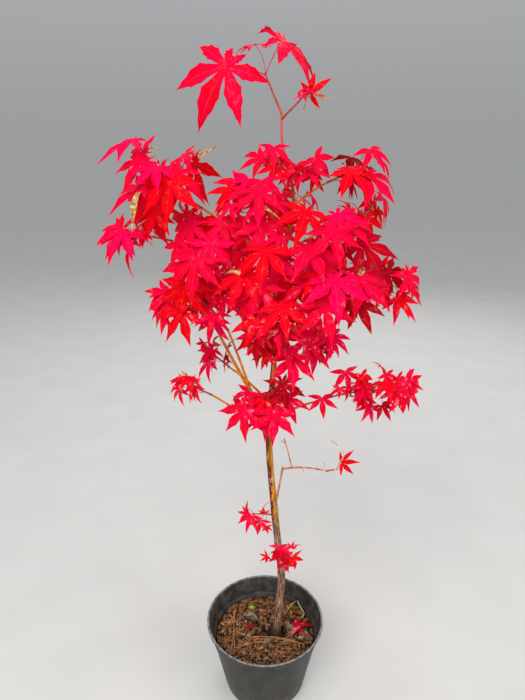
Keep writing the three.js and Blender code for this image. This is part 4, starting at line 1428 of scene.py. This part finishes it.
def make_trunk(wood):
    """The stem from its flare in the soil to the leader's tip, with its bark in relief."""
    foot = TRUNK_LINE[0][2]
    count = round((TRUNK_LINE[-1][2] - foot) / wood.ring_spacing)
    shares = [(step / count) ** 1.1 for step in range(count + 1)]
    line = [trunk_point(share) for share in shares]
    nodes = [bough["height"] for bough in BOUGHS.values() if "height" in bough]

    def radius_at(share, turn):
        height = line[round(share * count)].z
        flare = min(1, math.exp(-(height - foot) / FLARE["height"]))
        rib = math.cos(turn * FLARE["ribs"]) * FLARE["rib_depth"]
        radius = trunk_radius(height) + (FLARE["radius"] + rib) * flare
        collars = sum(math.exp(-(((height - node) / NODE_SWELL["length"]) ** 2)) for node in nodes)
        relief = bark_relief(height, turn, radius) * wood.relief * min(1, radius / FULL_RELIEF)
        return radius * (1 + NODE_SWELL["share"] * collars) + relief

    bm = bmesh.new()
    sweep(bm, line, radius_at, wood.sides)
    return bm


def bough_lines(steps):
    lines = {}
    for name, bough in BOUGHS.items():
        lines[name] = bough_line(bough, lines, steps)
    return lines


def make_boughs(wood, names):
    """Boughs as tapering limbs with a collar where each leaves its carrier and rings where buds were."""
    bm = bmesh.new()
    coarse = bough_lines(3)
    for seed, name in enumerate(names):
        bough = BOUGHS[name]
        line = bough_line(bough, coarse, max(12, round(bough["length"] / 3.5)))
        base, tip = bough["radius"]
        knots = max(2, round(bough["length"] / KNOT_SPACING))
        knot_sharpness = bough["length"] / knots / KNOT_LENGTH

        def radius_at(share, turn):
            collar = 1 + BOUGH_COLLAR["share"] * max(0, 1 - share / BOUGH_COLLAR["length"]) ** 2
            knot = math.exp(-((math.remainder(share * knots + 0.35, 1) * knot_sharpness) ** 2))
            radius = (base + (tip - base) * share) * collar
            place = Vector((math.cos(turn) * radius, math.sin(turn) * radius, share * bough["length"] / 4))
            return radius + knot * 0.5 + rough(place, 3.0, seed) * 0.2 * wood.relief

        sweep(bm, line, radius_at, 14)
    return bm


def make_twigs(lines, buds):
    """Thin stems with a joint at each pair of buds, and a bud at each end."""
    bm = bmesh.new()
    for line, base, tip in lines:
        curve = smooth_line(line, 3)
        joints = len(line) - 1

        def radius_at(share, turn):
            joint = math.exp(-((math.remainder(share * joints, 1) * JOINT["sharpness"]) ** 2))
            return (base + (tip - base) * share) * (1 + JOINT["swell"] * joint)

        sweep(bm, curve, radius_at, 8)
    for place, way, size in buds:
        make_bud(bm, place, way, size)
    return bm


def make_bud(bm, place, way, size):
    """A small pointed bud: a ball of a few faces drawn out to a tip."""
    grown = bmesh.ops.create_icosphere(bm, subdivisions=1, radius=1)["verts"]
    turn = way.to_track_quat("Z", "Y").to_matrix().to_4x4()
    for vert in grown:
        up = (vert.co.z + 1) / 2
        vert.co = Vector((vert.co.x * (1 - 0.6 * up), vert.co.y * (1 - 0.6 * up), vert.co.z * 1.7 + 1)) * size
    bmesh.ops.transform(bm, matrix=Matrix.Translation(place) @ turn, verts=grown)


def make_stalks(growth):
    """The leaf stalks: thin, bowed, thicker at the bud and sunk into the blade."""
    bm = bmesh.new()
    for pose, *_ in growth.leaves:
        start, bend, base = pose.stalk
        middle = bend * 2 - (start + base) / 2
        end = base + pose.midrib * pose.size * BLADE["rooting"]
        line = [arc_point((start, middle, end), step / STALK_RINGS) for step in range(STALK_RINGS + 1)]
        thick = STALK_SIZE["least"] + pose.size * STALK_SIZE["share"]
        sweep(bm, line, lambda share, turn: thick * (1 + 0.7 * max(0, 1 - share * 9) - 0.2 * share), 6)
    return bm


class Growth:
    """What the rule grows: twig lines with their radii, dead shoots, buds, and leaves with their colours."""

    def __init__(self):
        self.canopy = Canopy()
        self.twigs = []
        self.dead = []
        self.buds = []
        self.leaves = []

    def add_leaf(self, name, mass, bud, pose, withered_share):
        throw = dice(mass["seed"], DRESS_DICE + bud.index)
        share = WITHERED.get(name, withered_share)
        self.leaves.append((pose, throw, leaf_colour(name, throw), share))
        self.canopy.add(pose)

    def add_twig(self, line, base, tip):
        self.twigs.append((line, base, tip))
        self.buds.append((line[-1], end_way(line), tip * BUD_SIZE))


def grow_crown(leaf):
    """Every mass by the source's rule, its leaves as packed, and then finer twigs within its reach."""
    growth = Growth()
    lines = bough_lines(3)
    borne = {}
    for name, mass in MASSES.items():
        start, way = mass_root(mass, lines)
        twigs, buds = grow_mass(mass, start, way)
        kept = kept_poses(name, mass, buds)
        for bud, pose in kept:
            growth.add_leaf(name, mass, bud, pose, leaf.withered_share)
        bearing = {0} | {bud.twig for bud, _ in kept}
        borne[name] = [line for order, line in enumerate(twigs) if order in bearing]
        for order, line in enumerate(borne[name]):
            growth.add_twig(line, *(SIDE_RADII if order else STEM_RADII))
    for name, twigs in borne.items():
        if name not in PLAIN_MASSES and not MASSES[name].get("bare"):
            dress_finer(growth, name, twigs, leaf)
    for order, (name, limb, share, bend, end, midrib, face, size) in enumerate(LONE_LEAVES):
        foot = limb_point(lines, borne, limb, share)
        midrib = Vector(midrib).normalized()
        face = Vector(face) - midrib * midrib.dot(Vector(face))
        pose = Pose((foot, foot + Vector(bend), foot + Vector(end)), midrib, face.normalized(), size)
        growth.add_leaf(name, MASSES[name], Bud(LONE_BUD + order, foot, midrib, midrib, size, 0), pose, 0)
    for name, start, *bends in DRY_SHOOTS:
        place = limb_point(lines, borne, name, start)
        growth.dead.append(([place] + [place + Vector(bend) for bend in bends], *DRY_RADII))
    return growth


def limb_point(lines, borne, name, share):
    """A point along a bough, or along a mass's stem."""
    line = lines.get(name) or borne[name][0]
    return spline(line, share * (len(line) - 1))


def dress_finer(growth, name, twigs, leaf):
    """Each finer shoot gets a small leaf where there is room; of the others some stay as dead shoots."""
    mass = MASSES[name]
    for shoot, bud in grow_finer(mass, twigs):
        pose = roomy_pose(growth.canopy, mass, bud)
        if pose:
            growth.add_twig(shoot, *FINER_RADII)
            growth.add_leaf(name, mass, bud, pose, leaf.withered_share)
        elif bud.index % SPARE_SHOOT == 0:
            growth.dead.append((shoot, *FINER_RADII))


def roomy_pose(canopy, mass, bud):
    for attempt in range(FINER["tries"]):
        pose = leaf_pose(mass, bud, attempt)
        if canopy.has_room(pose):
            return pose
    return None


def leaf_colour(name, throw):
    """Autumn tints are dealt out leaf by leaf, and deeper ones more often low down and behind, where they
    paint shade.
    """
    share = throw(0, 1)
    if name in TINTS:
        return TINTS[name]
    shaded = any(word in name for word in SHADED)
    for colour, limit in (DEALT_IN_SHADE if shaded else DEALT).items():
        if share < limit:
            return colour
    return "dark"


def make_leaves(growth):
    targets = {colour: bmesh.new() for colour in LEAF_COLOURS}
    for pose, throw, colour, withered in growth.leaves:
        grow_blade(targets, pose, throw, colour, withered)
    return targets


# ---- Finishes of wood, leaves and litter ------------------------------------------------------------

RING_ON_GREY = (120, 84, 62)
RING_ON_GOLD = (214, 178, 138)

# Smooth barks: two close tints, the roughness, and how much their pale specks show. On the low twig the many
# pale specks also stand in for a painted highlight.
BARKS = {
    "bough_bark": ((240, 152, 20), (206, 104, 18), 0.5, 0.35),
    "low_twig_bark": ((222, 146, 104), (178, 96, 62), 0.5, 0.8),
    "twig_bark": ((206, 84, 66), (160, 54, 40), 0.5, 0.35),
    "dry_bark": ((236, 220, 190), (190, 156, 118), 0.6, 0.35),
    "stalk_skin": ((240, 60, 104), (212, 30, 62), 0.45, 0.35),
}

# For each tint of leaves, the deeper patches and the painted sky sheen: a cooler colour painted on faces that
# point up, standing in for sky light.
LEAF_SHADES = {
    "crimson": ((236, 0, 26), (248, 0, 72)),
    "pink": ((246, 0, 60), (252, 0, 88)),
    "scarlet": ((228, 0, 0), (246, 0, 34)),
    "dark": ((150, 0, 6), (200, 0, 36)),
}
VEIN = (255, 60, 104)
# The fallen leaf's colours; the third is a sheen painted where its surface faces up, standing in for sky
# light.
FALLEN = dict(colour=(170, 6, 18), deep=(120, 4, 12), painted_sky_sheen=(190, 10, 40), vein=(236, 90, 120))

# Litter: for each piece its finish and two tints, and the grain and roughness where they are not the usual.
LITTER = {
    "soil_clods": ("clod_brown", (44, 26, 14), (150, 108, 70), 150.0),
    "soil_lumps": ("lump_brown", (52, 32, 20), (150, 112, 76)),
    "bark_chips": ("chip_russet", (96, 44, 26), (176, 112, 72)),
    "soil_fibres": ("fibre_tan", (206, 168, 122), (120, 76, 48)),
    "dead_leaves": ("dead_leaf_brown", (196, 156, 112), (104, 60, 38)),
    "pale_grit": ("grit_pale", (196, 176, 146), (160, 132, 100)),
    "fallen_needles": ("needle_orange", (222, 150, 96), (160, 92, 54), 60.0, 0.6),
    "straws": ("straw_pale", (214, 204, 150), (186, 172, 118), 60.0, 0.6),
    "yellow_scraps": ("scrap_yellow", (226, 168, 42), (204, 118, 30)),
    "grey_flakes": ("flake_grey", (160, 148, 122), (104, 92, 68)),
    "folded_lobe": ("lobe_pink", (248, 110, 132), (224, 36, 66), 200.0, 0.3),
    "seedling": ("sprout_green", (164, 204, 30), (110, 164, 22), 90.0, 0.5),
}
WITHERED_TINT = (170, 116, 66)


def old_bark(wood):
    """Grey-pink and rough near the soil; gold with dark red and pale streaks above, the pale streaks partly
    the bark's own and partly a painted wet highlight; red at the leader.
    """
    material, tree, shader, place = new_material("old_bark", Roughness=0.6, Specular_IOR_Level=0.18)
    height = one_axis(tree, place, 2)
    grain = stretched(tree, place, (1, 1, 0.16))
    low = mottle(tree, grain, 330.0, 0.38, 0.64, tint(100, 72, 58), tuple(wood.low_colour))
    gold = mottle(tree, grain, 170.0, 0.4, 0.6, tuple(wood.olive_colour), tuple(wood.middle_colour))
    warm = mix_colour(tree, red_side(tree, place), gold["Colour"], tuple(wood.red_colour))
    wander = calculate(tree, "ADD", height, calculate(tree, "MULTIPLY", low["Mask"], 0.04))
    colour = mix_colour(tree, remap(tree, wander, 0.37, 0.43), low["Colour"], warm)
    colour = mix_colour(tree, remap(tree, wander, 0.62, 0.86), colour, tuple(wood.upper_colour))
    colour = mix_colour(tree, remap(tree, wander, 0.95, 1.04), colour, tuple(wood.leader_colour))
    # pale streaks: partly the bark's own, partly a painted highlight standing in for the gloss of wet bark
    streaks = mottle(tree, stretched(tree, place, (1, 1, 0.2)), 640.0, 0.6, 0.66)
    paler = calculate(tree, "MULTIPLY", streaks["Mask"], remap(tree, height, 0.86, 0.5, 0.15, 0.75))
    colour = mix_colour(tree, paler, colour, tint(226, 196, 170))
    colour = scarred(tree, place, colour)
    damp = calculate(tree, "ADD", height, calculate(tree, "MULTIPLY", low["Mask"], -0.012))
    colour = mix_colour(tree, remap(tree, damp, 0.136, 0.108, 0.0, 0.85), colour, tint(40, 31, 26))
    tree.links.new(colour, shader.inputs["Base Color"])
    tree.links.new(remap(tree, wander, 0.36, 0.46, 0.75, 0.36), shader.inputs["Roughness"])
    bump(tree, shader, lumps(tree, grain, 500.0, 1600.0, 0.5), 0.6, 0.0007)
    return material


def red_side(tree, place):
    """Ragged patches on the side that faces left."""
    blotch = noise_patches(tree, stretched(tree, place, (60, 60, 26)), 1.0, 3.0)
    shade = calculate(tree, "ADD", facing(tree, 0), calculate(tree, "MULTIPLY", blotch, -4.6))
    return remap(tree, shade, -2.05, -2.5)


def scarred(tree, place, colour):
    """Each scar has a ragged ring, paler than gold bark and darker than grey, round a dark pit."""
    ragged = noise_patches(tree, place, 420.0, 2.0)
    for scar, (up, _, _, size) in zip(scar_places(), SCARS):
        apart = distance(tree, place, tuple(scar * MM))
        away = calculate(tree, "ADD", apart, calculate(tree, "MULTIPLY", ragged, size * 2.4 * MM))
        away = calculate(tree, "SUBTRACT", away, size * 1.2 * MM)
        ring = remap(tree, away, size * 1.3 * MM, size * 0.9 * MM, 0.0, 0.65)
        colour = mix_colour(tree, ring, colour, tint(*(RING_ON_GOLD if up > SMOOTH_FROM else RING_ON_GREY)))
        pit = remap(tree, away, size * 0.6 * MM, size * 0.2 * MM, 0.0, 0.9)
        colour = mix_colour(tree, pit, colour, tint(44, 26, 18))
    return colour


def young_bark(name):
    """Smooth bark in two close colours, with pale specks, which on the low twig also serve as a painted
    highlight.
    """
    first, second, roughness, pale = BARKS[name]
    material, tree, shader, place = new_material(name, Roughness=roughness, Specular_IOR_Level=0.22)
    body = mottle(tree, place, 95.0, 0.36, 0.64, tint(*first), tint(*second))
    specks = mottle(tree, place, 800.0, 0.66, 0.72)
    # pale specks: the bark's own, and where their share is high, as on the low twig, also a painted highlight
    shown = calculate(tree, "MULTIPLY", specks["Mask"], pale)
    tree.links.new(mix_colour(tree, shown, body["Colour"], tint(232, 206, 176)), shader.inputs["Base Color"])
    bump(tree, shader, lumps(tree, place, 600.0, 1800.0, 0.4), 0.3, 0.0004)
    return material


def leaf_finish(name, colour, deep, painted_sky_sheen, vein=VEIN, roughness=0.45):
    """A leaf's two close tints, a cooler sky sheen painted on faces that point up, a paler midrib and side
    veins that run forward from it, in slight relief.
    """
    material, tree, shader, place = new_material("leaf_" + name, Roughness=roughness, Specular_IOR_Level=0.02)
    shader.inputs["Coat Roughness"].default_value = 0.15
    along = one_axis(tree, add_node(tree, "ShaderNodeUVMap", uv_map="blade").outputs[0], 1)
    midrib, side_veins = vein_masks(tree, along)
    body = mottle(tree, place, 38.0, 0.35, 0.68, colour, tint(*deep))
    # painted sky sheen: faces that point up are painted cooler and pinker, as if lit by the sky
    lit = mix_colour(tree, remap(tree, facing(tree, 2), -0.1, 0.75, 0.0, 0.55), body["Colour"], tint(*painted_sky_sheen))
    ribbed = mix_colour(tree, calculate(tree, "MULTIPLY", midrib, 0.3), lit, tint(*vein))
    veined = mix_colour(tree, calculate(tree, "MULTIPLY", side_veins, 0.1), ribbed, tint(*vein))
    tipped = mix_colour(tree, remap(tree, along, 0.9, 1.0, 0.0, 0.7), veined, tint(250, 84, 108))
    tree.links.new(tipped, shader.inputs["Base Color"])
    # wet patches, nearly all of them on the lower leaves
    wet = mottle(tree, place, 150.0, 0.54, 0.6)["Mask"]
    low_down = remap(tree, one_axis(tree, place, 2), 0.9, 0.7, 0.12, 1.0)
    tree.links.new(calculate(tree, "MULTIPLY", wet, low_down), shader.inputs["Coat Weight"])
    ribs = calculate(tree, "MAXIMUM", midrib, calculate(tree, "MULTIPLY", side_veins, 0.5))
    puckers = calculate(tree, "MULTIPLY", lumps(tree, place, 160.0, 700.0, 0.3), 0.8)
    bump(tree, shader, calculate(tree, "ADD", ribs, puckers), 0.35, 0.0005)
    return material


def vein_masks(tree, along):
    """Masks of a lobe's midrib and of the side veins, which run forward from it."""
    place = add_node(tree, "ShaderNodeUVMap", uv_map="blade").outputs[0]
    across = calculate(tree, "ABSOLUTE", calculate(tree, "SUBTRACT", one_axis(tree, place, 0), 0.5))
    swept = calculate(tree, "MULTIPLY", across, 5.0)
    forward = calculate(tree, "SUBTRACT", calculate(tree, "MULTIPLY", along, 11.0), swept)
    gap = calculate(tree, "ABSOLUTE", calculate(tree, "SUBTRACT", calculate(tree, "FRACT", forward), 0.5))
    return remap(tree, across, 0.045, 0.015), remap(tree, gap, 0.09, 0.0)


def plain_litter(name, first, second, scale=130.0, roughness=0.8):
    material, tree, shader, place = new_material(name, Roughness=roughness, Specular_IOR_Level=0.2)
    body = mottle(tree, place, scale, 0.35, 0.65, first, second)
    tree.links.new(body["Colour"], shader.inputs["Base Color"])
    bump(tree, shader, lumps(tree, place, 500.0, 1500.0, 0.5), 0.5, 0.0005)
    return material


# ---- Settings ---------------------------------------------------------------------------------------


def colour_property(name, description, *levels):
    return FloatVectorProperty(
        name=name, description=description, subtype="COLOR", size=3, min=0, max=1, default=tint(*levels)
    )


def length_property(name, description, default):
    return FloatProperty(
        name=name, description=description, default=default, min=0, subtype="DISTANCE", unit="LENGTH"
    )


def count_property(name, description, default, least=0):
    return IntProperty(name=name, description=description, default=default, min=least)


def power_property(name, description, default):
    return FloatProperty(name=name, description=description, default=default, subtype="POWER", unit="POWER")


_, POT_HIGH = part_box("pot")


class MaplePotSettings(bpy.types.PropertyGroup):
    height: length_property("Height", "Height of the pot", POT_HIGH.z)
    rim_radius: length_property("Rim radius", "Outer radius of the lip", POT_HIGH.x)
    lip: length_property("Lip", "Width of the rolled lip", 0.0032)
    collar_radius: length_property(
        "Band radius", "Outer radius of the band under the lip", POT_HIGH.x - 0.0025
    )
    band: length_property("Band", "Height of the band, with the lip", 0.036)
    step: length_property("Step", "How far the wall steps in under the band", 0.0016)
    base_radius: length_property("Base radius", "Outer radius of the foot", 0.079)
    foot: length_property("Foot", "Height that the underside is drawn in by", 0.0012)
    wall: length_property("Wall", "Thickness of the wall", 0.0018)
    colour: colour_property("Colour", "Colour of the plastic", 36, 35, 33)
    dust_colour: colour_property("Dust", "Colour of the dust on it", 112, 105, 95)
    # the pale lip's colour: partly wear, partly a painted highlight
    lip_wear_and_highlight_colour: colour_property("Worn edge", "Colour of the worn lip", 150, 151, 152)


class MapleSoilSettings(bpy.types.PropertyGroup):
    colour: colour_property("Colour", "Colour of the drier crumbs", 140, 98, 62)
    dark_colour: colour_property("Dark colour", "Colour of the damp mix", 34, 18, 9)
    lumps: count_property("Lumps", "How many small lumps lie on the soil", 420)
    chips: count_property("Chips", "How many bark chips lie on the soil", 110)
    clods: count_property("Clods", "How many larger lumps lie on the soil", 46)
    grit: count_property("Grit", "How many pale grains lie on the soil", 46)
    dead_leaves: count_property("Dead leaves", "How many crumpled leaves lie on the soil", 30)
    fibres: count_property("Fibres", "How many short fibres lie on the soil", 110)


class MapleWoodSettings(bpy.types.PropertyGroup):
    sides: count_property("Sides", "Facets round the trunk", 28, least=8)
    ring_spacing: FloatProperty(
        name="Ring spacing", description="Millimetres between the trunk's rings", default=3, min=1
    )
    relief: FloatProperty(name="Relief", description="Strength of the bark's relief", default=1, min=0)
    low_colour: colour_property("Low bark", "Bark near the soil", 176, 136, 112)
    middle_colour: colour_property("Middle bark", "Bark under the crown", 214, 140, 20)
    olive_colour: colour_property("Olive bark", "Patches in the middle bark", 150, 98, 14)
    red_colour: colour_property("Red bark", "Dark red side of the middle bark", 112, 30, 12)
    upper_colour: colour_property("Upper bark", "Bark inside the crown", 164, 92, 20)
    leader_colour: colour_property("Leader", "Bark of the leader", 214, 88, 70)


class MapleLeafSettings(bpy.types.PropertyGroup):
    withered_share: FloatProperty(
        name="Withered", description="Share of lobes that are withered", default=0.008, min=0, max=1
    )
    crimson: colour_property("Crimson", "The commonest tint", 244, 0, 54)
    pink: colour_property("Pink", "Tint of the leaves with a pink bloom", 250, 0, 74)
    scarlet: colour_property("Scarlet", "Tint of the yellower leaves", 244, 0, 12)
    dark: colour_property("Dark", "Tint of the deepest leaves", 196, 0, 10)
    withered: colour_property("Withered", "Colour of dead lobes", 234, 206, 150)


class MapleStageSettings(bpy.types.PropertyGroup):
    floor_colour: colour_property("Floor", "Colour of the floor", 226, 224, 220)
    floor_size: length_property("Floor size", "Half of the floor's side", 14.0)
    camera_back: length_property("Camera back", "How far the camera stands before the pot", 0.84946)
    camera_height: length_property("Camera height", "Height of the camera", 0.99935)
    camera_side: FloatProperty(
        name="Camera side", description="Sideways place of the camera", default=-0.005, unit="LENGTH"
    )
    camera_down: FloatProperty(
        name="Camera down",
        description="How far it looks down",
        default=math.radians(18.965),
        subtype="ANGLE",
        unit="ROTATION",
    )
    lens: FloatProperty(
        name="Lens", description="Focal length", default=28.03, subtype="DISTANCE_CAMERA", unit="CAMERA"
    )
    sky_strength: FloatProperty(name="Sky", description="Brightness of the soft sky", default=0.5)
    key_power: power_property("Key light", "Power of the large soft light", 84)
    fill_power: power_property("Fill light", "Power of each fill light", 26)


# ---- Operators --------------------------------------------------------------------------------------

# Lights: place, size and the setting that holds the power. All are turned to one point inside the crown.
LIGHTS = [
    ("key_light", (-1.0, -2.4, 2.9), 2.6, "key_power"),
    ("fill_light", (2.4, -1.6, 1.7), 2.0, "fill_power"),
    ("back_light", (0.6, 2.4, 2.4), 2.0, "fill_power"),
]
LIT = (0, 0, 0.65)
SKY = ((0.66, 0.67, 0.68), (0.9, 0.92, 0.96))  # at the horizon and overhead
SENSOR = 36


class MAPLE_OT_pot(bpy.types.Operator):
    """Turn the nursery pot"""

    bl_idname = "maple.pot"
    bl_label = "Pot"

    def execute(self, context):
        pot = context.scene.maple_pot
        finish_piece(make_pot(pot), "nursery_pot", pot_plastic(pot), ["pot"], sharp=50)
        return {"FINISHED"}


class MAPLE_OT_soil(bpy.types.Operator):
    """Fill the pot with potting mix"""

    bl_idname = "maple.soil"
    bl_label = "Soil"

    def execute(self, context):
        scene = context.scene
        plug = make_soil(scene.maple_pot)
        finish_piece(plug, "potting_mix", soil_mix(scene.maple_soil), ["soil"], sharp=70)
        return {"FINISHED"}


class MAPLE_OT_litter(bpy.types.Operator):
    """Scatter lumps, chips, needles, straws and fallen leaves on the soil"""

    bl_idname = "maple.litter"
    bl_label = "Litter"

    def execute(self, context):
        soil = context.scene.maple_soil
        lay("soil_clods", make_lumps(6, soil.clods, (2.5, 6), (0.5, 1.0), smoothness=2))
        lay("soil_lumps", make_lumps(1, soil.lumps, (1.2, 3.4), (0.5, 1.0)))
        lay("bark_chips", make_lumps(2, soil.chips, (2.5, 7), (0.15, 0.4)), sharp=30)
        lay("soil_fibres", make_fibres(7, soil.fibres))
        lay("dead_leaves", make_dead_leaves(4, soil.dead_leaves, (8, 19)), 50)
        lay("pale_grit", make_lumps(3, soil.grit, (1, 2.4), (0.5, 0.9)))
        lay("fallen_needles", make_needles(NEEDLES, 2.6), sharp=35)
        lay("straws", make_needles(STRAWS, 2.5), sharp=35)
        lay("yellow_scraps", make_flakes(YELLOW_SCRAPS, 1.5, 0.5, (0.2, 0.2), 0.2), 50)
        lay("grey_flakes", make_flakes(GREY_FLAKES, 3, 1.3, (0.1, 0.35), 0.28), 50)
        lay("folded_lobe", make_flakes(FOLDED_LOBE, 7, 0.9, (0.15, -0.4), 0.12), 50)
        shades = {**FALLEN, "colour": tint(*FALLEN["colour"])}
        fallen = leaf_finish("fallen", **shades, roughness=0.35)
        finish_piece(make_fallen_leaf(), "fallen_leaf", fallen, sharp=50)
        lay("seedling", make_seedling(), 50)
        return {"FINISHED"}


def lay(name, bm, sharp=60):
    material, first, second, *rest = LITTER[name]
    finish_piece(bm, name, plain_litter(material, tint(*first), tint(*second), *rest), sharp=sharp)


class MAPLE_OT_wood(bpy.types.Operator):
    """Grow the trunk and the boughs with their bark"""

    bl_idname = "maple.wood"
    bl_label = "Trunk and boughs"

    def execute(self, context):
        wood = context.scene.maple_wood
        finish_turned(make_trunk(wood), "trunk_bark", old_bark(wood), ["trunk"], sharp=70)
        low = [name for name in BOUGHS if name in LOW_TWIG]
        high = [name for name in BOUGHS if name not in LOW_TWIG]
        for name, bark, boughs in (("bough_limbs", "bough_bark", high), ("low_twig", "low_twig_bark", low)):
            finish_turned(make_boughs(wood, boughs), name, young_bark(bark), boughs, sharp=70)
        return {"FINISHED"}


class MAPLE_OT_foliage(bpy.types.Operator):
    """Grow every mass: its twigs, its leaf stalks and its leaves"""

    bl_idname = "maple.foliage"
    bl_label = "Foliage"

    def execute(self, context):
        leaf = context.scene.maple_leaf
        growth = grow_crown(leaf)
        twigs = make_twigs(growth.twigs, growth.buds)
        dry = make_twigs(growth.dead, ())
        finish_turned(twigs, "twigs", young_bark("twig_bark"), list(MASSES), sharp=70)
        finish_turned(dry, "dead_shoots", young_bark("dry_bark"), list(MASSES), sharp=70)
        stalks = make_stalks(growth)
        finish_turned(stalks, "leaf_stalks", young_bark("stalk_skin"), list(MASSES), sharp=70)
        for colour, bm in make_leaves(growth).items():
            body = tuple(getattr(leaf, colour))
            if colour == "withered":
                finish = plain_litter("leaf_withered", body, tint(*WITHERED_TINT), 200.0)
            else:
                finish = leaf_finish(colour, body, *LEAF_SHADES[colour])
            finish_turned(bm, "leaves_" + colour, finish, list(MASSES), sharp=45)
        return {"FINISHED"}


class MAPLE_OT_stage(bpy.types.Operator):
    """Lay the floor and set the soft lights and the camera"""

    bl_idname = "maple.stage"
    bl_label = "Stage"

    def execute(self, context):
        scene = context.scene
        stage = scene.maple_stage
        self.add_floor(stage)
        self.add_sky(scene, stage)
        for name, place, size, power in LIGHTS:
            self.add_light(name, place, size, getattr(stage, power))
        data = bpy.data.cameras.new("camera")
        data.lens = stage.lens
        data.sensor_width = SENSOR
        camera = bpy.data.objects.new("camera", data)
        camera.location = (stage.camera_side, -stage.camera_back, stage.camera_height)
        camera.rotation_euler = (math.pi / 2 - stage.camera_down, 0, 0)
        scene.collection.objects.link(camera)
        scene.camera = camera
        scene.view_settings.view_transform = "Standard"
        return {"FINISHED"}

    def add_floor(self, stage):
        bm = bmesh.new()
        bmesh.ops.create_grid(bm, x_segments=2, y_segments=2, size=stage.floor_size)
        mesh = bpy.data.meshes.new("floor")
        bm.to_mesh(mesh)
        bm.free()
        material, tree, shader, place = new_material("floor_matte", Roughness=0.9, Specular_IOR_Level=0.1)
        shade = mottle(tree, place, 6.0, 0.2, 0.8, tuple(stage.floor_colour), tint(220, 218, 214))
        tree.links.new(shade["Colour"], shader.inputs["Base Color"])
        mesh.materials.append(material)
        floor = bpy.data.objects.new("floor", mesh)
        bpy.context.scene.collection.objects.link(floor)
        floor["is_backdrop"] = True

    def add_sky(self, scene, stage):
        """A pale room, a little bluer overhead."""
        world = bpy.data.worlds.new("pale_room")
        world.use_nodes = True
        tree = world.node_tree
        height = one_axis(tree, add_node(tree, "ShaderNodeTexCoord").outputs["Generated"], 2)
        sky = mix_colour(tree, remap(tree, height, 0.0, 0.45), *SKY)
        tree.links.new(sky, tree.nodes["Background"].inputs["Color"])
        tree.nodes["Background"].inputs["Strength"].default_value = stage.sky_strength
        scene.world = world

    def add_light(self, name, place, size, power):
        data = bpy.data.lights.new(name, "AREA")
        data.size = size
        data.energy = power
        light = bpy.data.objects.new(name, data)
        light.location = place
        light.rotation_euler = (Vector(LIT) - Vector(place)).to_track_quat("-Z", "Y").to_euler()
        bpy.context.scene.collection.objects.link(light)


# ---- Panel and registering --------------------------------------------------------------------------

SETTINGS = {
    "maple_pot": MaplePotSettings,
    "maple_soil": MapleSoilSettings,
    "maple_wood": MapleWoodSettings,
    "maple_leaf": MapleLeafSettings,
    "maple_stage": MapleStageSettings,
}
STEPS = (MAPLE_OT_stage, MAPLE_OT_pot, MAPLE_OT_soil, MAPLE_OT_litter, MAPLE_OT_wood, MAPLE_OT_foliage)


class MAPLE_PT_panel(bpy.types.Panel):
    """Lists the steps and the sizes and colours that each of them uses"""

    bl_idname = "MAPLE_PT_panel"
    bl_label = "Potted Maple"
    bl_space_type = "VIEW_3D"
    bl_region_type = "UI"
    bl_category = "Maple"

    def draw(self, context):
        for step in STEPS:
            self.layout.operator(step.bl_idname)
        for name, group in SETTINGS.items():
            box = self.layout.box()
            for setting in group.__annotations__:
                box.prop(getattr(context.scene, name), setting)


def register():
    for group in SETTINGS.values():
        bpy.utils.register_class(group)
    for step in (*STEPS, MAPLE_PT_panel):
        bpy.utils.register_class(step)
    for name, group in SETTINGS.items():
        setattr(bpy.types.Scene, name, PointerProperty(type=group))


def unregister():
    for name in SETTINGS:
        delattr(bpy.types.Scene, name)
    for step in (MAPLE_PT_panel, *reversed(STEPS)):
        bpy.utils.unregister_class(step)
    for group in SETTINGS.values():
        bpy.utils.unregister_class(group)


def main():
    register()
    bpy.ops.maple.stage()
    bpy.ops.maple.pot()
    bpy.ops.maple.soil()
    bpy.ops.maple.litter()
    bpy.ops.maple.wood()
    bpy.ops.maple.foliage()
    boxes = {"cad": cad_box, "visual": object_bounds()}
    {name: [list(corner) for corner in box] for name, box in boxes.items()}


if __name__ == "__main__":
    main()
